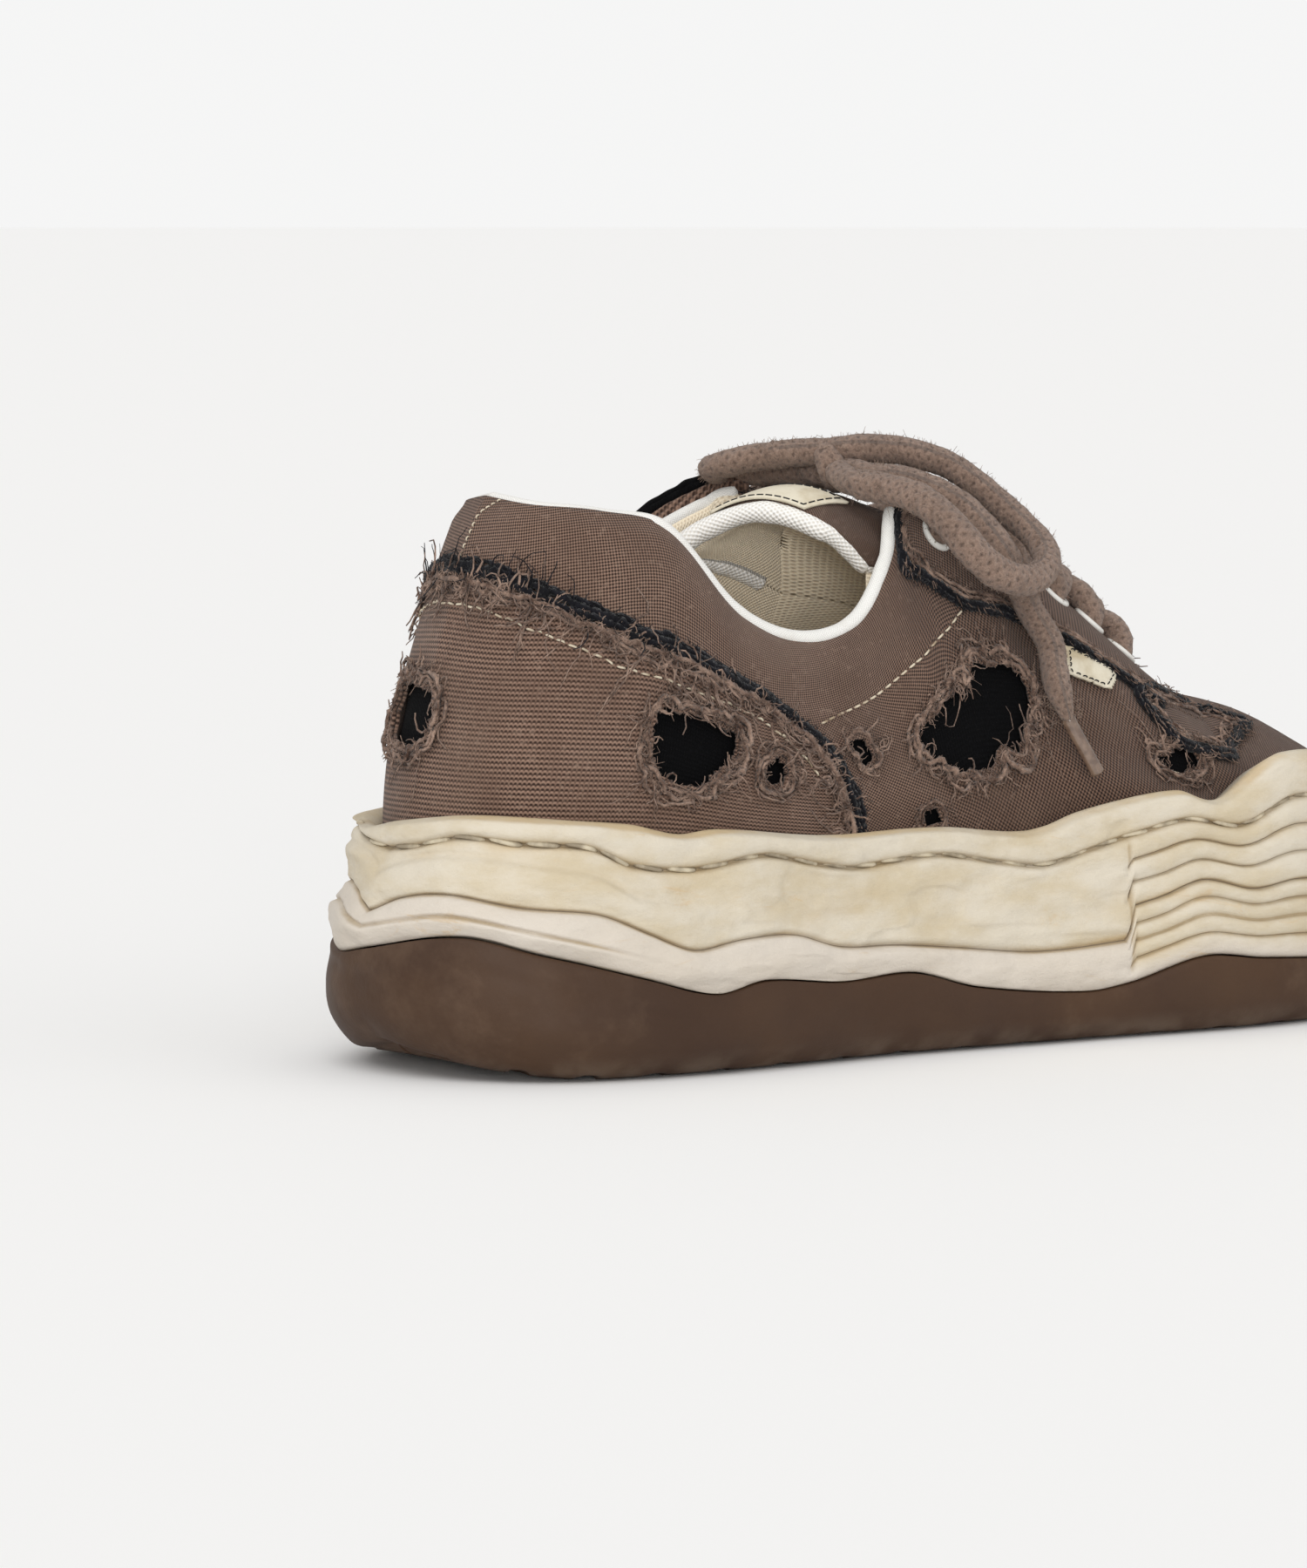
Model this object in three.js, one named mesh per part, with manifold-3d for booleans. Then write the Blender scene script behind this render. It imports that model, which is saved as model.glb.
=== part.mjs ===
// A chunky low canvas sneaker for the right foot, in millimetres.
// +X points to the toe, +Y to the inner (medial) side and +Z up; the sole stands on z = 0.
// Pieces: rubber outsole, foam midsole shaped as a cup, insole, canvas upper, padded tongue,
// eyelets, the laced cord over the tongue, its knot, two bow loops, two ends and their tips.
import * as THREE from "three";
import { mergeVertices } from "three/addons/utils/BufferGeometryUtils.js";
import Module from "manifold-3d";

const wasm = await Module();
wasm.setup();

// ---------------------------------------------------------------- driving dimensions
const LAST_LENGTH = 280; // upper, heel to toe at the feather edge
const BALL_WIDTH = 96; // upper across the ball of the foot
const COLLAR_HEIGHT = 124; // floor to the peak of the collar at the heel
const FOOTBED = 38; // floor to the inside of the cup at the heel
const CANVAS_WALL = 2.4; // canvas, backing and lining together
const COLLAR_PAD = 2.6; // foam added to the wall round the ankle
const TONGUE_THICK = 6;
const LACE_WIDTH = 8;
const LACE_THICK = 6;
const EYELETS = 6; // on each side
const GAP = 0.35; // between pieces that touch

const THROAT_END = 0.74; // where the two eyestays meet, as a share of the way from heel to toe
const HEEL_TO_TOE = 38; // grid columns on each side of the upper
const UP_THE_WALL = 9; // grid rows from the feather edge to the top edge

// ---------------------------------------------------------------- curves through few rows
// Rows are [where, value, value, ...]; the curve passes through each with a smooth slope.
function slopes(rows, i) {
  const a = rows[Math.max(i - 1, 0)];
  const b = rows[Math.min(i + 1, rows.length - 1)];
  return rows[i].map((_, k) => (b[k] - a[k]) / (b[0] - a[0]));
}

function along(rows, where) {
  const at = Math.min(Math.max(where, rows[0][0]), rows.at(-1)[0]);
  let i = 0;
  while (i < rows.length - 2 && rows[i + 1][0] < at) i += 1;
  const [a, b] = [rows[i], rows[i + 1]];
  const [slopeA, slopeB] = [slopes(rows, i), slopes(rows, i + 1)];
  const span = b[0] - a[0];
  const t = (at - a[0]) / span;
  return a.slice(1).map((value, k) => {
    const [h00, h10] = [(1 + 2 * t) * (1 - t) ** 2, t * (1 - t) ** 2];
    const [h01, h11] = [t * t * (3 - 2 * t), t * t * (t - 1)];
    return h00 * value + h10 * span * slopeA[k + 1] + h01 * b[k + 1] + h11 * span * slopeB[k + 1];
  });
}

// A closed curve over -1..1: its rows are repeated past both ends.
function round(rows) {
  const shifted = (by) => rows.map((row) => [row[0] + by, ...row.slice(1)]);
  return [...shifted(-2).slice(0, -1), ...rows, ...shifted(2).slice(1)];
}

// ---------------------------------------------------------------- the last
// side runs from -1 (toe) along the outer side to 0 (heel) and back along the inner side to 1 (toe).
// The feather edge, where the upper meets the footbed: x and y in last lengths and ball widths,
// z in footbed heights.
const FEATHER = round([
  [-1.0, 0.489, 0.062, 0.91],
  [-0.95, 0.472, -0.177, 0.88],
  [-0.88, 0.416, -0.37, 0.82],
  [-0.79, 0.316, -0.49, 0.76],
  [-0.69, 0.2, -0.51, 0.76],
  [-0.55, 0.036, -0.44, 0.82],
  [-0.4, -0.143, -0.39, 0.91],
  [-0.24, -0.329, -0.375, 1.0],
  [-0.14, -0.436, -0.318, 1.0],
  [-0.07, -0.492, -0.186, 1.0],
  [0.0, -0.511, 0.0, 1.0],
  [0.07, -0.492, 0.176, 1.0],
  [0.14, -0.436, 0.302, 1.0],
  [0.24, -0.329, 0.349, 1.0],
  [0.4, -0.143, 0.307, 0.91],
  [0.55, 0.036, 0.344, 0.82],
  [0.69, 0.2, 0.458, 0.76],
  [0.79, 0.314, 0.489, 0.76],
  [0.88, 0.414, 0.417, 0.82],
  [0.95, 0.471, 0.27, 0.88],
  [1.0, 0.489, 0.062, 0.91],
]);

// The collar from the heel's peak to the front corner, then the eyestay's edge down the throat:
// share of the way, x in last lengths, half width in ball widths, z in collar heights.
const TOP_LINE = [
  [0.0, -0.44, 0.0, 1.013],
  [0.06, -0.427, 0.128, 1.0],
  [0.13, -0.382, 0.222, 0.988],
  [0.19, -0.327, 0.272, 0.955],
  [0.27, -0.261, 0.31, 0.8],
  [0.34, -0.2, 0.328, 0.747],
  [0.41, -0.139, 0.32, 0.775],
  [0.47, -0.093, 0.275, 0.885],
  [0.5, -0.066, 0.215, 0.975],
  [0.56, 0.007, 0.18, 0.93],
  [0.65, 0.125, 0.14, 0.79],
  [THROAT_END, 0.229, 0.09, 0.615],
];
const RIDGE = [
  [THROAT_END, 0.24, 0.04, 0.6],
  [0.79, 0.28, 0.045, 0.585],
  [0.86, 0.335, 0.052, 0.555],
  [1.0, 0.4, 0.062, 0.462],
];
// The collar's inner side stands higher and further back: share, then x and z.
const INNER_LIFT = [
  [0.0, 0, 0],
  [0.19, 0, 0],
  [0.27, -0.01, 0.05],
  [0.34, -0.021, 0.12],
  [0.41, -0.036, 0.153],
  [0.47, -0.04, 0.09],
  [0.5, -0.048, 0.017],
  [0.56, -0.01, 0],
  [0.62, 0, 0],
  [THROAT_END, 0, 0],
];
const THROAT_LEAN = 0.03; // how far the throat's middle lies to the inner side, in ball widths

// How the wall swells between the two edges, in millimetres: outwards and upwards from the
// feather edge, then outwards and downwards from the top.
const SWELL = [
  [0.0, 3, 30, 9, 25],
  [0.14, 4, 28, 9, 22],
  [0.3, 5, 22, 5, 16],
  [0.4, 5, 20, 5, 15],
  [0.5, 6, 26, 12, 18],
  [0.62, 6, 28, 18, 7],
  [0.72, 4, 24, 20, 2],
  [0.82, 3, 20, 25, 0],
  [0.92, 2, 17, 18, 0],
  [1.0, 2, 16, 13, 1],
];

function feather(side) {
  const [x, y, z] = along(FEATHER, side);
  return new THREE.Vector3(x * LAST_LENGTH, y * BALL_WIDTH, z * FOOTBED);
}

// The level direction that points out of the shoe at the feather edge.
function outward(side) {
  const step = 0.01;
  const run = feather(side + step).sub(feather(side - step));
  return new THREE.Vector3(run.y, -run.x, 0).normalize().negate();
}

function topEdge(side) {
  const share = Math.abs(side);
  const open = share < THROAT_END;
  const [x, half, z] = along(open ? TOP_LINE : RIDGE, share);
  const middle = THROAT_LEAN * Math.min(share / 0.5, 1);
  const y = open ? Math.sign(side) * half + middle : half;
  const [back, up] = side > 0 && open ? along(INNER_LIFT, share) : [0, 0];
  return new THREE.Vector3((x + back) * LAST_LENGTH, y * BALL_WIDTH, (z + up) * COLLAR_HEIGHT);
}

// A point of the upper's outer face; rise runs from 0 at the feather edge to 1 at the top.
function lastPoint(side, rise) {
  const [outLow, upLow, outHigh, downHigh] = along(SWELL, Math.abs(side));
  const out = outward(side);
  const low = feather(side);
  const high = topEdge(side);
  const lowHandle = low.clone().addScaledVector(out, outLow).add(new THREE.Vector3(0, 0, upLow));
  const highHandle = high.clone().addScaledVector(out, outHigh).sub(new THREE.Vector3(0, 0, downHigh));
  return new THREE.CubicBezierCurve3(low, lowHandle, highHandle, high).getPoint(rise);
}

// ---------------------------------------------------------------- meshes and solids
function geometryOf(triangles) {
  const positions = triangles.flat().flatMap((p) => [p.x, p.y, p.z]);
  const loose = new THREE.BufferGeometry();
  loose.setAttribute("position", new THREE.Float32BufferAttribute(positions, 3));
  return mergeVertices(loose, 1e-3);
}

function quad(a, b, c, d) {
  return [
    [a, b, c],
    [a, c, d],
  ];
}

const flat = ([a, b, c]) => a.distanceTo(b) < 1e-3 || b.distanceTo(c) < 1e-3 || c.distanceTo(a) < 1e-3;

// An open surface given a wall: the inner face follows the outer one at the depth asked for.
function shell(triangles, depth) {
  const outer = geometryOf(triangles.filter((t) => !flat(t)));
  outer.computeVertexNormals();
  const [place, normal] = [outer.attributes.position, outer.attributes.normal];
  const [top, under] = [[], []];
  for (let i = 0; i < place.count; i += 1) {
    const p = new THREE.Vector3().fromBufferAttribute(place, i);
    const n = new THREE.Vector3().fromBufferAttribute(normal, i);
    top.push(p);
    under.push(p.clone().addScaledVector(n, -depth(p)));
  }
  const index = outer.index.array;
  const edges = new Set();
  for (let i = 0; i < index.length; i += 3) {
    for (let k = 0; k < 3; k += 1) edges.add(`${index[i + k]},${index[i + ((k + 1) % 3)]}`);
  }
  const faces = [];
  for (let i = 0; i < index.length; i += 3) {
    const [a, b, c] = index.slice(i, i + 3);
    faces.push([top[a], top[b], top[c]], [under[a], under[c], under[b]]);
  }
  for (const edge of edges) {
    const [a, b] = edge.split(",").map(Number);
    if (!edges.has(`${b},${a}`)) faces.push(...quad(top[b], top[a], under[a], under[b]));
  }
  return geometryOf(faces);
}

// Rings of points, one above the other, closed by strips across the first and the last ring.
// A ring runs once round the shoe, heel to toe on one side and back on the other.
function loft(rings) {
  const count = rings[0].length;
  const faces = [];
  for (let r = 0; r + 1 < rings.length; r += 1) {
    for (let i = 0; i < count; i += 1) {
      const next = (i + 1) % count;
      faces.push(...quad(rings[r][i], rings[r][next], rings[r + 1][next], rings[r + 1][i]));
    }
  }
  const strip = (ring) => {
    const made = [];
    for (let i = 0; i < count / 2; i += 1) {
      const [a, b] = [ring[i], ring[i + 1]];
      const [c, d] = [ring[(count - i - 1) % count], ring[(count - i) % count]];
      made.push(...quad(a, d, c, b));
    }
    return made;
  };
  faces.push(...strip(rings[0]), ...strip(rings.at(-1)).map(([a, b, c]) => [a, c, b]));
  return geometryOf(faces.filter((t) => !flat(t)));
}

function toManifold(geometry) {
  const merged = mergeVertices(geometry, 1e-3);
  return new wasm.Manifold(
    new wasm.Mesh({
      numProp: 3,
      vertProperties: merged.attributes.position.array,
      triVerts: new Uint32Array(merged.index.array),
    }),
  );
}

function fromManifold(solid) {
  const mesh = solid.getMesh();
  const geometry = new THREE.BufferGeometry();
  geometry.setAttribute("position", new THREE.BufferAttribute(mesh.vertProperties, 3));
  return geometry.setIndex(new THREE.BufferAttribute(mesh.triVerts, 1));
}

const bare = (geometry) => {
  geometry.deleteAttribute("normal");
  geometry.deleteAttribute("uv");
  return mergeVertices(geometry, 1e-3);
};

const shoe = new THREE.Group();

function add(name, geometry, color, roughness) {
  const material = new THREE.MeshStandardMaterial({ color, roughness, metalness: 0 });
  const mesh = new THREE.Mesh(geometry, material);
  mesh.name = name;
  shoe.add(mesh);
  return mesh;
}

// ---------------------------------------------------------------- the sole
const SOLE_STEPS = HEEL_TO_TOE; // places on each side

function ring(pointAt) {
  const points = [];
  for (let i = 0; i < SOLE_STEPS; i += 1) points.push(pointAt(-i / SOLE_STEPS));
  for (let i = SOLE_STEPS; i > 0; i -= 1) points.push(pointAt(i / SOLE_STEPS));
  return points;
}

// Heights above the floor, side by side from the outer toe round the heel to the inner toe.
const FOXING_TOP = round([
  [-1.0, 53],
  [-0.9, 54],
  [-0.8, 60],
  [-0.72, 62],
  [-0.667, 52],
  [-0.633, 54.5],
  [-0.55, 50.5],
  [-0.51, 47],
  [-0.44, 49],
  [-0.34, 49],
  [-0.245, 52],
  [-0.213, 51.5],
  [-0.177, 54],
  [-0.118, 56],
  [-0.064, 56.5],
  [0.0, 54],
  [0.045, 52],
  [0.11, 53.5],
  [0.22, 53],
  [0.34, 49.5],
  [0.46, 48.5],
  [0.56, 47.5],
  [0.66, 51],
  [0.78, 54],
  [0.88, 54],
  [1.0, 53],
]);
const OUTSOLE_TOP = round([
  [-1.0, 24],
  [-0.88, 18],
  [-0.78, 13.5],
  [-0.7, 14.5],
  [-0.65, 16],
  [-0.59, 11],
  [-0.55, 9.5],
  [-0.46, 12.5],
  [-0.405, 17],
  [-0.342, 16.3],
  [-0.275, 18.2],
  [-0.235, 16],
  [-0.18, 20.6],
  [-0.118, 26.5],
  [-0.07, 30.5],
  [0.0, 26.5],
  [0.045, 24],
  [0.1, 26],
  [0.16, 23],
  [0.26, 18],
  [0.34, 16],
  [0.42, 17.5],
  [0.52, 12],
  [0.6, 11],
  [0.68, 15],
  [0.78, 13],
  [0.88, 17],
  [1.0, 24],
]);
// How far the sole stands out past the feather edge at the foxing, where the rubber starts, and at
// its widest.
const FLARE = [
  [0.0, 5.5, 12.5, 15],
  [0.12, 6, 12, 14.5],
  [0.25, 7, 12, 14],
  [0.5, 7, 11.5, 13],
  [0.8, 8, 12, 13.5],
  [1.0, 8, 14, 17],
];
const TOE_SPRING = [
  [0.0, 7],
  [0.08, 2.5],
  [0.16, 0],
  [0.8, 0],
  [0.88, 2],
  [0.94, 6],
  [1.0, 11],
];

const height = (rows, side) => along(rows, side)[0];

// A point beside the feather edge, so far out of it, at a height above the floor.
function beside(side, out, z) {
  return feather(side).addScaledVector(outward(side), out).setZ(z);
}

const SOLE_DROP = 2.5; // the tread lies this far below the level from which heights are given
const spring = (side) => Math.max(height(TOE_SPRING, Math.abs(side)), 0) - SOLE_DROP;

function outsoleGeometry() {
  const flare = (side) => along(FLARE, Math.abs(side));
  const underside = (side) => beside(side, 1, spring(side));
  const rings = [
    ring((s) => underside(s)),
    ring((s) => beside(s, flare(s)[1] - 4, spring(s) + 0.12 * height(OUTSOLE_TOP, s))),
    ring((s) => beside(s, flare(s)[2] - 0.6, spring(s) + 0.4 * (height(OUTSOLE_TOP, s) - spring(s)))),
    ring((s) => beside(s, flare(s)[2], spring(s) + 0.68 * (height(OUTSOLE_TOP, s) - spring(s)))),
    ring((s) => beside(s, flare(s)[1] + 1.2, height(OUTSOLE_TOP, s) - GAP - 1)),
    ring((s) => beside(s, flare(s)[1], height(OUTSOLE_TOP, s) - GAP - 0.05)),
  ];
  return loft(rings);
}

function midsoleGeometry() {
  const flare = (side) => along(FLARE, Math.abs(side));
  const down = (side, share) => THREE.MathUtils.lerp(height(FOXING_TOP, side), feather(side).z, share);
  const rings = [
    ring((s) => beside(s, flare(s)[1], height(OUTSOLE_TOP, s))),
    ring((s) => beside(s, flare(s)[1], height(OUTSOLE_TOP, s) + 5)),
    ring((s) => beside(s, flare(s)[0] + 1.8, height(FOXING_TOP, s) - 9)),
    ring((s) => beside(s, flare(s)[0] + 1.2, height(FOXING_TOP, s) - 2.5)),
    ring((s) => beside(s, flare(s)[0] - 0.5, height(FOXING_TOP, s))),
    ring((s) => roomForUpper(s, down(s, 0.02))),
    ring((s) => roomForUpper(s, down(s, 0.3))),
    ring((s) => roomForUpper(s, down(s, 0.6))),
    ring((s) => beside(s, 0.8, feather(s).z - GAP)),
  ];
  return loft(rings);
}

// The cup's inner wall clears the upper, which leans outwards as it rises.
function roomForUpper(side, z) {
  const room = (rise) => overUpper(side, rise, GAP + 0.95);
  let rise = 0;
  while (rise < 1 && room(rise).z < z) rise += 0.005;
  return room(rise).setZ(z);
}

const GROOVES = 13;

// Grooves across the tread, pressed into the flat of the sole.
function tread(geometry) {
  let sole = toManifold(geometry);
  for (let i = 0; i < GROOVES; i += 1) {
    const x = LAST_LENGTH * (-0.42 + (0.78 * i) / (GROOVES - 1));
    const groove = new THREE.BoxGeometry(4, 74, 5);
    groove.translate(x, 0, -SOLE_DROP);
    sole = sole.subtract(toManifold(bare(groove)));
  }
  return fromManifold(sole);
}

add("outsole", tread(outsoleGeometry()), 0x4a3c31, 0.6);
add("midsole", midsoleGeometry(), 0xe6ddc4, 0.7);

// ---------------------------------------------------------------- the upper
function wallDepth(p) {
  const ankle = THREE.MathUtils.smoothstep(p.z, 74, 98) * THREE.MathUtils.smoothstep(-p.x, -10, 20);
  return CANVAS_WALL + COLLAR_PAD * ankle;
}

// The direction out of the upper's outer face.
function normalAt(side, rise) {
  const step = 0.01;
  const [low, high] = [Math.max(rise - step, 0), Math.min(rise + step, 1)];
  const up = lastPoint(side, high).sub(lastPoint(side, low));
  const run = lastPoint(side + step, rise).sub(lastPoint(side - step, rise));
  return up.cross(run).normalize();
}

// A point under or over the upper's outer face.
function overUpper(side, rise, lift) {
  return lastPoint(side, rise).addScaledVector(normalAt(side, rise), lift);
}

function upperSurface() {
  const faces = [];
  for (const sign of [-1, 1]) {
    const point = (i, j) => lastPoint(sign * Math.max(i / HEEL_TO_TOE, 1e-9), j / UP_THE_WALL);
    for (let i = 0; i < HEEL_TO_TOE; i += 1) {
      for (let j = 0; j < UP_THE_WALL; j += 1) {
        const corners = [point(i, j), point(i + 1, j), point(i + 1, j + 1), point(i, j + 1)];
        if (sign > 0) corners.reverse();
        faces.push(...quad(...corners));
      }
    }
  }
  return faces;
}

const EYELET_SIDES = [0.527, 0.565, 0.6, 0.635, 0.67, 0.704];
const EYELET_RISE = 0.89;
const EYELET_HOLE = 3.4; // radius cut through the canvas
const EYELET_STEPS = 8;

// Turns a piece made upright round Y to stand on the upper where an eyelet goes.
function seat(geometry, side) {
  const turn = new THREE.Quaternion().setFromUnitVectors(new THREE.Vector3(0, 1, 0), normalAt(side, EYELET_RISE));
  geometry.applyQuaternion(turn);
  const at = lastPoint(side, EYELET_RISE);
  return geometry.translate(at.x, at.y, at.z);
}

const eyeletSides = EYELET_SIDES.flatMap((side) => [-side, side]);

function upperGeometry() {
  let upper = toManifold(shell(upperSurface(), wallDepth));
  for (const side of eyeletSides) {
    const hole = bare(new THREE.CylinderGeometry(EYELET_HOLE, EYELET_HOLE, 12, EYELET_STEPS));
    upper = upper.subtract(toManifold(seat(hole, side)));
  }
  return fromManifold(upper);
}

add("upper", upperGeometry(), 0x77614f, 0.9);

function eyeletGeometry(side) {
  const under = -CANVAS_WALL;
  const profile = [
    [2.3, under],
    [3, under],
    [3, 0.7],
    [4.6, 0.7],
    [4.1, 1.5],
    [2.3, 1.5],
    [2.3, under],
  ];
  const points = profile.map(([radius, z]) => new THREE.Vector2(radius, z));
  return seat(bare(new THREE.LatheGeometry(points, EYELET_STEPS)), side);
}

eyeletSides.forEach((side, i) => {
  const place = `${side < 0 ? "outer" : "inner"}_${Math.floor(i / 2) + 1}`;
  add(`eyelet_${place}`, eyeletGeometry(side), 0xd9d6cf, 0.35);
});

// ---------------------------------------------------------------- the insole
function insoleGeometry() {
  const inset = CANVAS_WALL + 2.2;
  return loft([
    ring((s) => beside(s, -inset, feather(s).z + 0.1)),
    ring((s) => beside(s, -inset, feather(s).z + 3.4)),
    ring((s) => beside(s, -inset - 1.5, feather(s).z + 4.2)),
  ]);
}

add("insole", insoleGeometry(), 0xcfc8bb, 0.9);

// ---------------------------------------------------------------- the tongue
const TONGUE_ACROSS = 12;
const TONGUE_ROWS = 12;
const HOOD_ROWS = 4;
// The rim of the hood, from its outer corner over the middle to its inner corner.
const HOOD = [
  [-1.0, -25, -13.5, 107],
  [-0.6, -34, -10, 116.5],
  [0.0, -43.5, 2.5, 121.5],
  [0.6, -51.5, 15, 117],
  [1.0, -57.5, 21.5, 110],
];

// One line across the tongue, under the eyestays and over the gap between them.
function underThroat(share, across) {
  const depth = (rise, sign) => -(wallDepth(lastPoint(sign * share, rise)) + GAP + 0.55);
  const [low, high] = [0.72, 0.92];
  const wall = (sign, rise) => overUpper(sign * share, rise, depth(rise, sign));
  if (Math.abs(across) > 0.5) {
    const sign = Math.sign(across);
    return wall(sign, THREE.MathUtils.lerp(high, low, 2 * Math.abs(across) - 1));
  }
  const [from, to] = [wall(-1, high), wall(1, high)];
  const reach = from.distanceTo(to) * 0.36;
  const lead = (sign) => wall(sign, high).sub(wall(sign, high - 0.05)).normalize().multiplyScalar(reach);
  return new THREE.CubicBezierCurve3(from, from.clone().add(lead(-1)), to.clone().add(lead(1)), to).getPoint(across + 0.5);
}

function tonguePoint(row, across) {
  if (row <= TONGUE_ROWS) {
    return underThroat(THREE.MathUtils.lerp(0.8, 0.515, row / TONGUE_ROWS), across);
  }
  const share = (row - TONGUE_ROWS) / HOOD_ROWS;
  const [x, y, z] = along(HOOD, across);
  const bulge = new THREE.Vector3(0, 0, 2.5 * Math.sin(share * Math.PI));
  return underThroat(0.515, across).lerp(new THREE.Vector3(x, y, z), share).add(bulge);
}

function tongueGeometry() {
  const faces = [];
  for (let row = 0; row < TONGUE_ROWS + HOOD_ROWS; row += 1) {
    for (let i = 0; i < TONGUE_ACROSS; i += 1) {
      const at = (r, k) => tonguePoint(row + r, (2 * (i + k)) / TONGUE_ACROSS - 1);
      faces.push(...quad(at(0, 0), at(0, 1), at(1, 1), at(1, 0)));
    }
  }
  return shell(faces, () => TONGUE_THICK);
}

add("tongue", tongueGeometry(), 0x7b6452, 0.9);

// ---------------------------------------------------------------- the lace
// A round cord through a few points, its rings turned along the path.
function cord(places, radius, steps, sides = 8) {
  const path = new THREE.CatmullRomCurve3(places.map((p) => new THREE.Vector3(...p)), false, "centripetal");
  const frames = path.computeFrenetFrames(steps, false);
  const rings = [];
  for (let k = 0; k <= steps; k += 1) {
    const circle = [];
    for (let i = 0; i < sides; i += 1) {
      const angle = (2 * Math.PI * i) / sides;
      circle.push(
        path
          .getPointAt(k / steps)
          .addScaledVector(frames.normals[k], Math.cos(angle) * radius)
          .addScaledVector(frames.binormals[k], Math.sin(angle) * radius),
      );
    }
    rings.push(circle);
  }
  return loft(rings);
}

const LACE_OVER = LACE_THICK / 2 + 3; // middle of a crossing above the canvas at an eyelet

// Every pair of eyelets is crossed once from each side; the crossings are joined at their ends.
function crossingsGeometry() {
  let joined = null;
  for (let i = 1; i + 1 < EYELETS; i += 1) {
    for (const sign of [-1, 1]) {
      const [from, to] = [EYELET_SIDES[i], EYELET_SIDES[i + 1]];
      const middle = underThroat((from + to) / 2, 0).add(new THREE.Vector3(1.5, 0, LACE_THICK / 2 + 4));
      const places = [
        overUpper(sign * from, EYELET_RISE, LACE_OVER),
        overUpper(sign * (0.8 * from + 0.2 * to), 0.99, LACE_OVER),
        middle,
        overUpper(-sign * (0.2 * from + 0.8 * to), 0.99, LACE_OVER),
        overUpper(-sign * to, EYELET_RISE, LACE_OVER),
      ];
      const bar = toManifold(cord(places.map((p) => p.toArray()), LACE_THICK / 2, 6, 6));
      joined = joined ? joined.add(bar) : bar;
    }
  }
  return fromManifold(joined);
}

add("lace_crossings", crossingsGeometry(), 0x6e5b4d, 0.95);

const LACE_RADIUS = LACE_WIDTH / 2 - 0.2;
const LOOP_OUTER = [
  [-15.5, -6.5, 133.8],
  [-10.6, -10, 133.2],
  [-3.2, -16, 130.6],
  [1.8, -22, 125.8],
  [6.4, -27, 120],
  [9.2, -34.4, 113.6],
  [7.8, -40.6, 108.6],
  [2.4, -44, 105.4],
  [-6, -45.4, 104.8],
  [-12.6, -44, 107.6],
  [-17, -41.5, 112.8],
  [-19.4, -36.5, 118.6],
  [-21.5, -30, 122.8],
  [-24.2, -21, 125.2],
  [-26.8, -13, 126.2],
];
const LOOP_INNER = [
  [-29.5, 8, 132.6],
  [-33, 13, 131.8],
  [-37.5, 18, 130.6],
  [-39.5, 23.5, 129],
  [-34.5, 28, 128],
  [-28.5, 24.5, 127.8],
  [-22.5, 12.5, 128],
];
// The ends leave the knot freely, then lie on the upper: side, rise and lift.
const lying = (rows) => rows.map(([side, rise, lift]) => overUpper(side, rise, lift).toArray());
const END_OUTER = [
  [-20, -9.5, 127.6],
  [-16, -13, 127.2],
  [-9.8, -18.5, 125],
  [-4.4, -24, 121],
  [-1.6, -29.5, 115.6],
  [0.6, -34, 109.6],
  ...lying([
    [-0.572, 0.68, 5.4],
    [-0.578, 0.59, 5],
    [-0.571, 0.508, 5],
    [-0.57, 0.433, 5],
  ]),
];
const END_INNER = [
  [-15, 9.5, 129.8],
  [-12, 17, 129],
  [-10.5, 24, 126.5],
  ...lying([
    [0.52, 0.93, 7.5],
    [0.53, 0.82, 6.6],
    [0.548, 0.72, 5.4],
    [0.562, 0.62, 5],
    [0.57, 0.52, 5],
    [0.574, 0.43, 5],
  ]),
];

const knot = new THREE.IcosahedronGeometry(1, 2).scale(6, 6.5, 6.2).rotateZ(0.6).translate(-23, 1, 130);
add("lace_knot", bare(knot), 0x6e5b4d, 0.95);
add("lace_loop_outer", cord(LOOP_OUTER, LACE_RADIUS, 22), 0x6e5b4d, 0.95);
add("lace_loop_inner", cord(LOOP_INNER, LACE_RADIUS, 14), 0x6e5b4d, 0.95);
add("lace_end_outer", cord(END_OUTER, LACE_RADIUS, 12), 0x6e5b4d, 0.95);
add("lace_end_inner", cord(END_INNER, LACE_RADIUS, 12), 0x6e5b4d, 0.95);

// The stiff tips at the ends of the lace.
const TIP_RADIUS = 1.7;
const TIP_OUTER = lying([
  [-0.572, 0.408, 4.6],
  [-0.578, 0.355, 4.3],
  [-0.585, 0.3, 4],
]);
const TIP_INNER = lying([
  [0.575, 0.405, 4.6],
  [0.576, 0.35, 4.3],
  [0.577, 0.295, 4],
]);
add("lace_tip_outer", cord(TIP_OUTER, TIP_RADIUS, 2), 0x8a7a6c, 0.3);
add("lace_tip_inner", cord(TIP_INNER, TIP_RADIUS, 2), 0x8a7a6c, 0.3);

// ---------------------------------------------------------------- centred on the sole
shoe.updateMatrixWorld(true);
const box = new THREE.Box3().setFromObject(shoe);
shoe.position.set(-(box.min.x + box.max.x) / 2, -(box.min.y + box.max.y) / 2, -box.min.z);

export default shoe;
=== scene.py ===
import math

import bmesh
import bpy
import numpy as np
from mathutils import Matrix, Vector


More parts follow.
